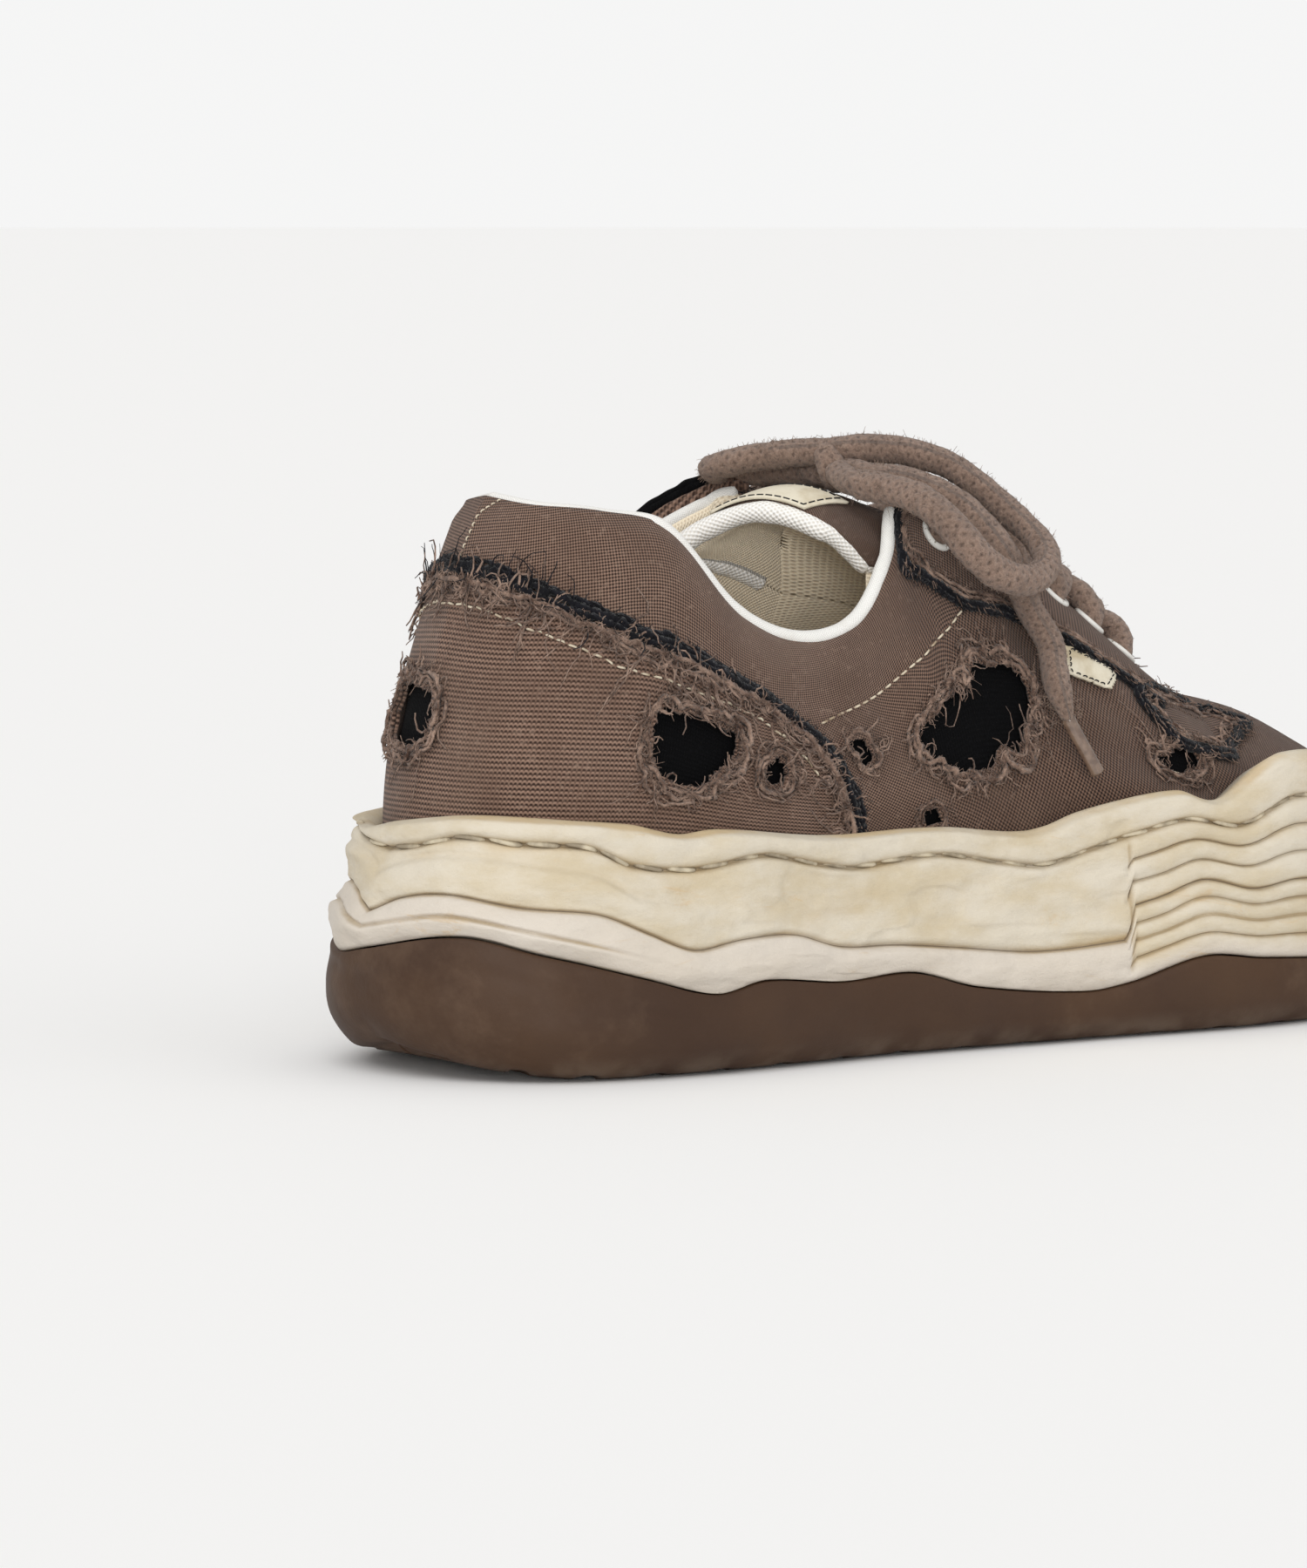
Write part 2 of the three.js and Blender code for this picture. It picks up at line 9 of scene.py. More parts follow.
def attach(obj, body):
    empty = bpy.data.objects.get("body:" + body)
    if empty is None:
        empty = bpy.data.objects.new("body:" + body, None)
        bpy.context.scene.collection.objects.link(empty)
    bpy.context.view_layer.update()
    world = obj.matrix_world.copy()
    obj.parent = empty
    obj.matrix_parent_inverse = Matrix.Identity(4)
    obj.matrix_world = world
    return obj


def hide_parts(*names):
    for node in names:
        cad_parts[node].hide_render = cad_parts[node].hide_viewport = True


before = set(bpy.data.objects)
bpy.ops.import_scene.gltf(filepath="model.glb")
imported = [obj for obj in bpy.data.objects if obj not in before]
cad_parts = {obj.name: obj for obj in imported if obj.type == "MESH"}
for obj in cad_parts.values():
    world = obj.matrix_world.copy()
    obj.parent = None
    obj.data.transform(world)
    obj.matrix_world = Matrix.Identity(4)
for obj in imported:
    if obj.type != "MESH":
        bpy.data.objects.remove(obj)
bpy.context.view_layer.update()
scene = bpy.context.scene

# ---------------------------------------------------------------- camera, light and floor
# A long lens low behind the outer heel, a broad soft light from above and in front, and a pale
# floor that runs on to a pale horizon.
EYE = (-0.9665, -1.1589, 0.1922)
EYE_AZIMUTH = -37.584  # degrees; 0 looks along +Y
EYE_DOWN = 5.13
LENS = 147.44
PALE = (0.918, 0.918, 0.915)

camera_data = bpy.data.cameras.new("camera")
camera_data.lens = LENS
camera_data.sensor_width = 36
camera_data.clip_end = 200
camera = bpy.data.objects.new("camera", camera_data)
camera.location = EYE
camera.rotation_euler = (math.radians(90 - EYE_DOWN), 0, math.radians(EYE_AZIMUTH))
scene.collection.objects.link(camera)
scene.camera = camera
scene.view_settings.view_transform = "Standard"
scene.view_settings.look = "None"


def sun(name, tilt, turn, strength, softness):
    """A far light that leans by tilt from overhead, towards the compass turn."""
    data = bpy.data.lights.new(name, "SUN")
    data.energy = strength
    data.angle = math.radians(softness)
    lamp = bpy.data.objects.new(name, data)
    lamp.rotation_euler = (math.radians(tilt), 0, math.radians(turn))
    scene.collection.objects.link(lamp)


sun("key", 38, -62, 1.1, 50)
sun("fill", 55, 20, 0.2, 70)
sun("low", 84, -36, 1.15, 22)

world = bpy.data.worlds.new("studio")
scene.world = world
world.use_nodes = True
world_tree = world.node_tree
world_tree.nodes.clear()
seen = world_tree.nodes.new("ShaderNodeBackground")
seen.inputs[0].default_value = (*PALE, 1)
seen.inputs[1].default_value = 1.0
lit = world_tree.nodes.new("ShaderNodeBackground")
lit.inputs[0].default_value = (1, 0.995, 0.985, 1)
lit.inputs[1].default_value = 0.6
ray = world_tree.nodes.new("ShaderNodeLightPath")
either = world_tree.nodes.new("ShaderNodeMixShader")
out = world_tree.nodes.new("ShaderNodeOutputWorld")
world_tree.links.new(ray.outputs["Is Camera Ray"], either.inputs[0])
world_tree.links.new(lit.outputs[0], either.inputs[1])
world_tree.links.new(seen.outputs[0], either.inputs[2])
world_tree.links.new(either.outputs[0], out.inputs[0])


# ---------------------------------------------------------------- how finishes are written
class Value:
    """A shader socket that does sums: an operator on it adds a Math node."""

    def __init__(self, finish, socket):
        self.finish, self.socket = finish, socket

    def math(self, operation, *others):
        return self.finish.node("Math", {"operation": operation}, self, *others)

    def __add__(self, other):
        return self.math("ADD", other)

    def __sub__(self, other):
        return self.math("SUBTRACT", other)

    def __rsub__(self, other):
        return self.finish.node("Math", {"operation": "SUBTRACT"}, other, self)

    def __mul__(self, other):
        return self.math("MULTIPLY", other)

    def __truediv__(self, other):
        return self.math("DIVIDE", other)

    def __pow__(self, other):
        return self.math("POWER", other)

    __radd__, __rmul__ = __add__, __mul__

    def fade(self, low, high):
        """0 below low and 1 above high, smooth in between."""
        settings = {"interpolation_type": "SMOOTHSTEP"}
        return self.finish.node("MapRange", settings, self, low, high, 0.0, 1.0)


class Finish:
    """A material whose nodes are added by one method each."""

    def __init__(self, name, color, roughness=0.9, **shader):
        self.material = bpy.data.materials.new(name)
        self.material.use_nodes = True
        self.tree = self.material.node_tree
        self.tree.nodes.clear()
        self.shader = self.tree.nodes.new("ShaderNodeBsdfPrincipled")
        output = self.tree.nodes.new("ShaderNodeOutputMaterial")
        self.tree.links.new(self.shader.outputs[0], output.inputs[0])
        self.set("Base Color", color)
        self.set("Roughness", roughness)
        self.set("Specular IOR Level", 0.3)
        for key, value in shader.items():
            self.set(key.replace("_", " "), value)

    def link(self, socket, value):
        if isinstance(value, Value):
            self.tree.links.new(value.socket, socket)
        elif hasattr(value, "__len__") and len(value) == 3 and len(socket.default_value) == 4:
            socket.default_value = (*value, 1)
        else:
            socket.default_value = value

    def set(self, name, value):
        self.link(self.shader.inputs[name], value)

    def node(self, kind, settings, *values, output=0, **named):
        made = self.tree.nodes.new("ShaderNode" + kind)
        for key, value in settings.items():
            setattr(made, key, value)
        for socket, value in zip(made.inputs, values):
            if value is not None:
                self.link(socket, value)
        for key, value in named.items():
            self.link(made.inputs[key.replace("_", " ")], value)
        return Value(self, made.outputs[output])

    def place(self):
        return self.node("TexCoord", {}, output="Object")

    def attribute(self, name):
        return self.node("Attribute", {"attribute_name": name}, output="Fac")

    def uv(self, name):
        """The two directions of a UV map, in millimetres."""
        both = self.node("UVMap", {"uv_map": name})
        return [self.node("SeparateXYZ", {}, both, output=i) * 1000 for i in (0, 1)]

    def stretched(self, vector, x, y, z):
        return self.node("VectorMath", {"operation": "MULTIPLY"}, vector, (x, y, z))

    def noise(self, size, detail=3.0, vector=None, roughness=0.5, distortion=0.0):
        """Noise whose lumps are about size millimetres across."""
        at = vector or self.place()
        settings = {"noise_dimensions": "3D"}
        shape = {"Detail": detail, "Roughness": roughness, "Distortion": distortion}
        return self.node("TexNoise", settings, Vector=at, Scale=1000 / size, **shape)

    def mix(self, share, low, high, blend="MIX"):
        settings = {"data_type": "RGBA", "blend_type": blend}
        made = self.tree.nodes.new("ShaderNodeMix")
        for key, value in settings.items():
            setattr(made, key, value)
        self.link(made.inputs[0], share)
        self.link(made.inputs[6], low)
        self.link(made.inputs[7], high)
        return Value(self, made.outputs[2])

    def bump(self, height, depth):
        """Relief of that depth in millimetres where height is 1."""
        made = self.node("Bump", {}, Strength=1.0, Distance=depth / 1000, Height=height)
        self.set("Normal", made)


def srgb(red, green, blue):
    """A colour as it looks on a screen, from 0 to 255."""
    share = [c / 255 for c in (red, green, blue)]
    return tuple(c / 12.92 if c <= 0.04045 else ((c + 0.055) / 1.055) ** 2.4 for c in share)


floor_finish = Finish("studio_floor", (0.955, 0.952, 0.947), 0.9)
bpy.ops.object.select_all(action="DESELECT")
bpy.ops.mesh.primitive_circle_add(vertices=96, radius=60, fill_type="NGON")
floor = bpy.context.object
floor.name = "studio_floor"
floor.data.materials.append(floor_finish.material)

# ---------------------------------------------------------------- the last
# The shoe is drawn over one last. side runs from -1 (toe) along the outer side to 0 (heel) and
# back along the inner side to 1; rise runs from 0 at the feather edge to 1 at the top edge.
CENTRED = np.array([2.08, 0.97, 2.5])  # where the last's zero lies in the frame
LAST_LENGTH = 280
BALL_WIDTH = 96
COLLAR_HEIGHT = 124
FOOTBED = 38
CANVAS_WALL = 2.4
COLLAR_PAD = 2.6
THROAT_END = 0.74
THROAT_LEAN = 0.03

FEATHER = [
    (-1.0, 0.489, 0.062, 0.91), (-0.95, 0.472, -0.177, 0.88), (-0.88, 0.416, -0.37, 0.82),
    (-0.79, 0.316, -0.49, 0.76), (-0.69, 0.2, -0.51, 0.76), (-0.55, 0.036, -0.44, 0.82),
    (-0.4, -0.143, -0.39, 0.91), (-0.24, -0.329, -0.375, 1.0), (-0.14, -0.436, -0.318, 1.0),
    (-0.07, -0.492, -0.186, 1.0), (0.0, -0.511, 0.0, 1.0), (0.07, -0.492, 0.176, 1.0),
    (0.14, -0.436, 0.302, 1.0), (0.24, -0.329, 0.349, 1.0), (0.4, -0.143, 0.307, 0.91),
    (0.55, 0.036, 0.344, 0.82), (0.69, 0.2, 0.458, 0.76), (0.79, 0.314, 0.489, 0.76),
    (0.88, 0.414, 0.417, 0.82), (0.95, 0.471, 0.27, 0.88), (1.0, 0.489, 0.062, 0.91),
]
TOP_LINE = [
    (0.0, -0.44, 0.0, 1.013), (0.06, -0.427, 0.128, 1.0), (0.13, -0.382, 0.222, 0.988),
    (0.19, -0.327, 0.272, 0.955), (0.27, -0.261, 0.31, 0.8), (0.34, -0.2, 0.328, 0.747),
    (0.41, -0.139, 0.32, 0.775), (0.47, -0.093, 0.275, 0.885), (0.5, -0.066, 0.215, 0.975),
    (0.56, 0.007, 0.18, 0.93), (0.65, 0.125, 0.14, 0.79), (THROAT_END, 0.229, 0.09, 0.615),
]
RIDGE = [
    (THROAT_END, 0.24, 0.04, 0.6), (0.79, 0.28, 0.045, 0.585), (0.86, 0.335, 0.052, 0.555),
    (1.0, 0.4, 0.062, 0.462),
]
# The collar's inner side stands higher and further back.
INNER_LIFT = [
    (0.0, 0, 0), (0.19, 0, 0), (0.27, -0.01, 0.05), (0.34, -0.021, 0.12), (0.41, -0.036, 0.153),
    (0.47, -0.04, 0.09), (0.5, -0.048, 0.017), (0.56, -0.01, 0), (0.62, 0, 0), (THROAT_END, 0, 0),
]
SWELL = [
    (0.0, 3, 30, 9, 25), (0.14, 4, 28, 9, 22), (0.3, 5, 22, 5, 16), (0.4, 5, 20, 5, 15),
    (0.5, 6, 26, 12, 18), (0.62, 6, 28, 18, 7), (0.72, 4, 24, 20, 2), (0.82, 3, 20, 25, 0),
    (0.92, 2, 17, 18, 0), (1.0, 2, 16, 13, 1),
]


def along(rows, where):
    """A smooth curve through rows of (where, value, ...), read at each place asked for."""
    rows = np.asarray(rows, float)
    at = np.clip(np.asarray(where, float), rows[0, 0], rows[-1, 0])
    i = np.clip(np.searchsorted(rows[:, 0], at) - 1, 0, len(rows) - 2)
    order = np.arange(len(rows))
    rise = rows[np.minimum(order + 1, len(rows) - 1)] - rows[np.maximum(order - 1, 0)]
    slope = rise[:, 1:] / rise[:, :1]
    a, b = rows[i], rows[i + 1]
    span = b[..., :1] - a[..., :1]
    t = (at[..., None] - a[..., :1]) / span
    start = (1 + 2 * t) * (1 - t) ** 2 * a[..., 1:] + t * (1 - t) ** 2 * span * slope[i]
    end = t * t * (3 - 2 * t) * b[..., 1:] + t * t * (t - 1) * span * slope[i + 1]
    return start + end


def closed(rows):
    """Rows over -1..1 repeated past both ends, so that the curve closes on itself."""
    rows = np.asarray(rows, float)
    back, on = rows.copy(), rows.copy()
    back[:, 0] -= 2
    on[:, 0] += 2
    return np.concatenate([back[:-1], rows, on[1:]])


def smooth(low, high, x):
    t = np.clip((np.asarray(x, float) - low) / (high - low), 0, 1)
    return t * t * (3 - 2 * t)


def lerp(a, b, t):
    return a + (b - a) * t


def unit(vectors):
    return vectors / np.maximum(np.linalg.norm(vectors, axis=-1, keepdims=True), 1e-9)


FEATHER = closed(FEATHER)


def feather(side):
    return along(FEATHER, side) * (LAST_LENGTH, BALL_WIDTH, FOOTBED)


def outward(side):
    run = feather(np.asarray(side) + 0.01) - feather(np.asarray(side) - 0.01)
    return unit(np.stack([-run[..., 1], run[..., 0], 0 * run[..., 0]], -1))


def top_edge(side):
    share = np.abs(side)
    open_edge = share < THROAT_END
    rows = np.where(open_edge[..., None], along(TOP_LINE, share), along(RIDGE, share))
    middle = THROAT_LEAN * np.minimum(share / 0.5, 1)
    half = np.where(open_edge, np.sign(side) * rows[..., 1] + middle, rows[..., 1])
    moved = along(INNER_LIFT, share) * np.where(open_edge & (side > 0), 1.0, 0.0)[..., None]
    long, high = rows[..., 0] + moved[..., 0], rows[..., 2] + moved[..., 1]
    return np.stack([long * LAST_LENGTH, half * BALL_WIDTH, high * COLLAR_HEIGHT], -1)


def on_last(side, rise):
    side, rise = np.broadcast_arrays(np.asarray(side, float), np.asarray(rise, float))
    out_low, up_low, out_high, down_high = np.moveaxis(along(SWELL, np.abs(side)), -1, 0)
    out = outward(side)
    low, high = feather(side), top_edge(side)
    up = np.array([0, 0, 1.0])
    low_lead = low + out * out_low[..., None] + up * up_low[..., None]
    high_lead = high + out * out_high[..., None] - up * down_high[..., None]
    t = rise[..., None]
    lower = (1 - t) ** 3 * low + 3 * (1 - t) ** 2 * t * low_lead
    return lower + 3 * (1 - t) * t * t * high_lead + t**3 * high


def off_last(side, rise):
    """The direction out of the last's face."""
    step = 0.01
    side, rise = np.broadcast_arrays(np.asarray(side, float), np.asarray(rise, float))
    up = on_last(side, np.minimum(rise + step, 1)) - on_last(side, np.maximum(rise - step, 0))
    run = on_last(side + step, rise) - on_last(side - step, rise)
    return unit(np.cross(up, run))


def skin(side, rise, lift=0.0):
    """A point over the last's face; past the top edge it carries on in the same direction."""
    side, rise = np.broadcast_arrays(np.asarray(side, float), np.asarray(rise, float))
    held = np.clip(rise, 0, 1)
    step = 0.005
    below = np.minimum(held, 1 - step)
    lead = (on_last(side, below + step) - on_last(side, below)) / step
    base = on_last(side, held) + lead * (rise - held)[..., None]
    off = off_last(side, held)
    shared = unit(off + off_last(-side, held))
    on_ridge = (smooth(0.93, 1, rise) * (np.abs(side) > THROAT_END))[..., None]
    return base + unit(lerp(off, shared, on_ridge)) * np.asarray(lift, float)[..., None]


def wall_depth(points):
    ankle = smooth(74, 98, points[..., 2]) * smooth(-10, 20, -points[..., 0])
    return CANVAS_WALL + COLLAR_PAD * ankle


def placed(points):
    return (np.asarray(points, float) + CENTRED) / 1000


def rough(points, size, seed=0):
    """Smooth random lumps about size across, from -1 to 1."""
    at = np.asarray(points, float) / size + 31.7 * seed
    cell = np.floor(at).astype(np.int64)
    f = at - cell
    f = f * f * (3 - 2 * f)
    total = 0
    for corner in np.ndindex(2, 2, 2):
        c = cell + np.array(corner)
        key = (c[..., 0] * 73856093) ^ (c[..., 1] * 19349663) ^ (c[..., 2] * 83492791)
        key = (key * 1103515245 + 12345) & 0x7FFFFFFF
        key = ((key >> 7) * 69069 + 7) & 0x7FFFFFFF
        weight = np.prod(np.where(np.array(corner) == 1, f, 1 - f), axis=-1)
        total = total + weight * ((key >> 8) % 4096 / 2048 - 1)
    return total


def grid_faces(rows, columns, ring=False, flip=False):
    """Quads over a grid of points; a ring joins the last column to the first."""
    r = np.arange(rows - 1)[:, None]
    c = np.arange(columns if ring else columns - 1)[None, :]
    on = (c + 1) % columns
    quads = np.stack([r * columns + c, r * columns + on, (r + 1) * columns + on, (r + 1) * columns + c], -1)
    quads = quads.reshape(-1, 4)
    return quads[:, ::-1] if flip else quads


def as_list(faces):
    return faces.tolist() if hasattr(faces, "tolist") else faces


def piece(name, points, faces, finish, uv=None, marks=None):
    """A mesh object that rides with the shoe; points are in mm over the last."""
    mesh = bpy.data.meshes.new(name)
    mesh.from_pydata(placed(points).reshape(-1, 3).tolist(), [], as_list(faces))
    mesh.polygons.foreach_set("use_smooth", [True] * len(mesh.polygons))
    if uv is not None:
        layer = mesh.uv_layers.new(name="cloth")
        corner = np.empty(len(mesh.loops), np.int64)
        mesh.loops.foreach_get("vertex_index", corner)
        layer.data.foreach_set("uv", (np.asarray(uv, float).reshape(-1, 2)[corner] / 1000).ravel())
    for key, values in (marks or {}).items():
        mark = mesh.attributes.new(key, "FLOAT", "POINT")
        mark.data.foreach_set("value", np.asarray(values, float).ravel())
    mesh.materials.append(finish.material)
    made = bpy.data.objects.new(name, mesh)
    scene.collection.objects.link(made)
    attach(made, "root")
    return made


def apply(obj, kind, **settings):
    """Adds one modifier with these settings and applies it."""
    bpy.ops.object.select_all(action="DESELECT")
    obj.select_set(True)
    bpy.context.view_layer.objects.active = obj
    modifier = obj.modifiers.new(kind.lower(), kind)
    for key, value in settings.items():
        setattr(modifier, key, value)
    bpy.ops.object.modifier_apply(modifier=modifier.name)
    return obj


def outward_faces(obj):
    """Turns a closed piece's faces outwards."""
    shape = bmesh.new()
    shape.from_mesh(obj.data)
    bmesh.ops.remove_doubles(shape, verts=shape.verts, dist=1e-6)
    bmesh.ops.recalc_face_normals(shape, faces=shape.faces)
    shape.to_mesh(obj.data)
    shape.free()
    return obj


# ---------------------------------------------------------------- the outsole
# A thick brown rubber cup, moulded in one: a swelling wall with a rounded foot, a wavy top edge,
# soft creases at the heel, and a tread of waving bars.  The midsole is bonded to its top.
FOXING_TOP = closed([
    (-1.0, 53), (-0.9, 54), (-0.8, 60), (-0.72, 62), (-0.667, 52), (-0.633, 54.5), (-0.55, 50.5),
    (-0.51, 47), (-0.44, 49), (-0.34, 49), (-0.245, 52), (-0.213, 51.5), (-0.177, 54),
    (-0.118, 56), (-0.064, 56.5), (0.0, 54), (0.045, 52), (0.11, 53.5), (0.22, 53), (0.34, 49.5),
    (0.46, 48.5), (0.56, 47.5), (0.66, 51), (0.78, 54), (0.88, 54), (1.0, 53),
])
OUTSOLE_TOP = closed([
    (-1.0, 24), (-0.88, 18), (-0.78, 13.5), (-0.7, 14.5), (-0.65, 16), (-0.59, 11), (-0.55, 9.5),
    (-0.46, 12.5), (-0.405, 17), (-0.342, 16.3), (-0.275, 18.2), (-0.235, 16), (-0.18, 20.6),
    (-0.118, 26.5), (-0.07, 30.5), (0.0, 26.5), (0.045, 24), (0.1, 26), (0.16, 23), (0.26, 18), (0.34, 16),
    (0.42, 17.5), (0.52, 12), (0.6, 11), (0.68, 15), (0.78, 13), (0.88, 17), (1.0, 24),
])
FLARE = [
    (0.0, 5.5, 12.5, 15), (0.12, 6, 12, 14.5), (0.25, 7, 12, 14), (0.5, 7, 11.5, 13),
    (0.8, 8, 12, 13.5), (1.0, 8, 14, 17),
]
TOE_SPRING = [(0.0, 7), (0.08, 2.5), (0.16, 0), (0.8, 0), (0.88, 2), (0.94, 6), (1.0, 11)]
SOLE_DROP = 2.5
HEEL_CREASE = [
    (-0.3, 6), (-0.25, 10), (-0.18, 15.5), (-0.12, 21.5), (-0.07, 26), (0.0, 22.5), (0.1, 25),
    (0.2, 16), (0.3, 8),
]
SOLE_COLUMNS = 570  # steps of the sole's meshes round the shoe
TREAD_PITCH = 17.0

sole_side = np.linspace(-1, 1, SOLE_COLUMNS, endpoint=False)
foxing_top = along(FOXING_TOP, sole_side)[:, 0]
outsole_top = along(OUTSOLE_TOP, sole_side)[:, 0]
flare = along(FLARE, np.abs(sole_side)).T
spring = np.maximum(along(TOE_SPRING, np.abs(sole_side))[:, 0], 0) - SOLE_DROP


def distances(line):
    """How far along a line each of its points lies."""
    steps = np.linalg.norm(np.diff(line, axis=0), axis=1)
    return np.concatenate([[0], np.cumsum(steps)])


def places_at(line, length, at):
    """Places at given distances along a line."""
    return np.stack([np.interp(at, length, line[:, i]) for i in range(line.shape[1])], -1)


def through(stops, t):
    """Smooth curves through stops of equal spacing; t runs from 0 to 1."""
    stops = np.asarray(stops, float)
    at = np.asarray(t) * (len(stops) - 1)
    rows = np.concatenate([np.arange(len(stops))[:, None], stops.reshape(len(stops), -1)], 1)
    return along(rows, at).reshape(len(at), *stops.shape[1:])


def beside(side, out, z):
    """A point so far out of the feather edge, at a height."""
    made = feather(side) + outward(side) * np.asarray(out)[..., None]
    made[..., 2] = z
    return made


def tread(points):
    """1 in the grooves between the waving bars of the tread."""
    x, y = points[..., 0], points[..., 1]
    wave = x + 5 * np.sin(y / 9.5)
    return smooth(0.34, 0.42, np.abs((wave / TREAD_PITCH) % 1 - 0.5))


def outsole_wall(rows=36):
    top = outsole_top - 0.4
    tall = top - spring
    stops = [
        [flare[1] - 8, spring],
        [flare[1] - 3, spring + 0.07 * tall],
        [flare[2] - 0.9, spring + 0.34 * tall],
        [flare[2] + 0.1, spring + 0.64 * tall],
        [flare[1] + 1.5, top - 1.6],
        [flare[1] + 0.9, top],
    ]
    t = np.linspace(0, 1, rows)
    out, z = np.moveaxis(through(stops, t), 1, 0)
    side = np.broadcast_to(sole_side, out.shape)
    crease = along(HEEL_CREASE, side)[..., 0]
    reach = smooth(-0.3, -0.2, side) * smooth(0.3, 0.2, side)
    out = out + 0.55 * reach * (smooth(crease - 2.6, crease, z) - 0.5) * smooth(crease + 9, crease, z)
    base = beside(side, out, z)
    out = out + 0.28 * rough(base * (0.5, 0.5, 1), 9, 3) + 0.08 * rough(base, 3, 4)
    notch = tread(base) * smooth(0.2, 0.05, t)[:, None]
    base = beside(side, out - 1.6 * notch, z + 1.4 * notch)
    base[-1, :, 2] = outsole_top - 0.4
    return base


def across(ring, columns, shape=None):
    """A strip of points over a ring that runs round the shoe, from one side to the other."""
    half = len(ring) // 2
    ring = np.roll(ring, -half, axis=0)  # starts at the heel
    near, far = ring[(-np.arange(half + 1)) % len(ring)], ring[np.arange(half + 1)]
    t = np.linspace(0, 1, columns)[:, None, None]
    strip = lerp(near, far, t)
    return shape(strip) if shape else strip


def tread_bed(strip):
    depth = 2.6 * tread(strip)
    t = np.linspace(0, 1, len(strip))[:, None]
    channel = smooth(0.03, 0.0, np.abs(t - 0.5)) * smooth(0.06, 0.12, np.abs(strip[..., 0]) / 280)
    strip = strip.copy()
    strip[..., 2] = strip[..., 2] + np.maximum(depth, 2.0 * channel)
    return strip


def strip_piece(strip, flip=False):
    rows, columns = strip.shape[:2]
    return strip.reshape(-1, 3), grid_faces(rows, columns, flip=flip)


def merged(*parts):
    """Several (points, faces) as one."""
    points, faces, at = [], [], 0
    for some_points, some_faces in parts:
        points.append(np.asarray(some_points).reshape(-1, 3))
        faces += [[corner + at for corner in face] for face in as_list(some_faces)]
        at += len(points[-1])
    return np.concatenate(points), faces


def rubber():
    made = Finish("outsole_rubber", srgb(86, 69, 56), 0.62, Specular_IOR_Level=0.35)
    broad, fine = made.noise(38, 3), made.noise(0.8, 3)
    low = made.node("SeparateXYZ", {}, made.place(), output=2) * 1000
    base = made.mix(broad.fade(0.3, 0.7), srgb(59, 38, 23), srgb(72, 49, 30))
    worn = made.mix(made.noise(60, 6, roughness=0.7).fade(0.56, 0.72) * 0.35, base, srgb(104, 82, 64))
    dust = (1 - low.fade(0.5, 7.0)) * made.noise(9, 4).fade(0.35, 0.7) * 0.45
    made.set("Base Color", made.mix(dust, worn, srgb(118, 102, 86)))
    made.set("Roughness", made.noise(14, 4).fade(0.2, 0.8) * 0.14 + 0.55)
    made.bump(fine * 0.7 + made.noise(2.6, 2) * 0.6, 0.09)
    return made


outsole_finish = rubber()
wall = outsole_wall()
outsole_points, outsole_faces = merged(
    (wall.reshape(-1, 3), grid_faces(*wall.shape[:2], ring=True)),
    strip_piece(across(wall[0], 64, tread_bed)),
    strip_piece(across(wall[-1], 8), flip=True),
)
outsole = piece("outsole_body", outsole_points, outsole_faces, outsole_finish)
outward_faces(outsole)
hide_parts("outsole")

# ---------------------------------------------------------------- the midsole
# One casting of cream foam made to look hand-modelled: a rolled rim over a stitched groove, lumpy
# rolls round the heel, a smeared flat panel at midfoot and wavy ribs round the toe.
STITCHED = [
    (0.0, 48), (0.03, 49.3), (0.064, 51.7), (0.1, 50.4), (0.145, 49.5), (0.176, 45.2),
    (0.223, 43.5), (0.279, 45.7), (0.325, 43), (0.36, 41.6), (0.432, 43), (0.483, 40.3),
    (0.52, 39.1), (0.563, 42.5), (0.606, 45.5), (0.642, 47.7), (0.684, 45.7), (0.731, 51.5),
    (0.8, 49), (0.9, 45.5), (1.0, 44.5),
]
LOWER_GROOVE = [
    (0.0, 34.4), (0.025, 37.8), (0.06, 39.3), (0.103, 36.8), (0.149, 35.1), (0.184, 30.2),
    (0.217, 26), (0.259, 27.7), (0.3, 27.7), (0.339, 24.3), (0.395, 23.3), (0.441, 21.8),
    (0.515, 19.3), (0.588, 20.6),
]
RIB_MIDDLE = [
    (0.59, 28.2), (0.618, 30.2), (0.65, 33.4), (0.69, 30.9), (0.73, 32.4), (0.8, 31), (0.9, 32),
    (1.0, 35),
]
HEEL_LIP = [(0.0, 42), (0.02, 45), (0.06, 47), (0.114, 45.2), (0.15, 42.7), (0.18, 37.4), (0.3, 33)]
HEEL_FOLD = [(0.0, 31), (0.035, 33.6), (0.065, 34.7), (0.104, 32.2), (0.152, 27.7), (0.2, 22)]
RIBS_FROM = 0.59
MIDSOLE_LOW, MIDSOLE_MIDDLE, MIDSOLE_RIM = 36, 52, 26  # grid rows in each zone

sole_share = np.abs(sole_side)
ribs_at = sole_share + 0.004 * rough(feather(sole_side), 6, 9)
ribbed = smooth(RIBS_FROM - 0.002, RIBS_FROM + 0.003, ribs_at)
stitched = along(STITCHED, sole_share)[:, 0]
waist = lerp(along(LOWER_GROOVE, sole_share)[:, 0], along(RIB_MIDDLE, sole_share)[:, 0], ribbed)
waist = np.maximum(waist, outsole_top + 3)


def roll(t, fold=0.42):
    """The swell of a roll of foam between two creases, fullest below its middle."""
    t = np.clip(t, 0, 1)
    return np.sqrt(np.clip(np.sin(np.pi * t ** (0.5 / fold) ** 0.55), 0, 1))


def crease(gap, width=0.45):
    return np.exp(-((gap / width) ** 2))


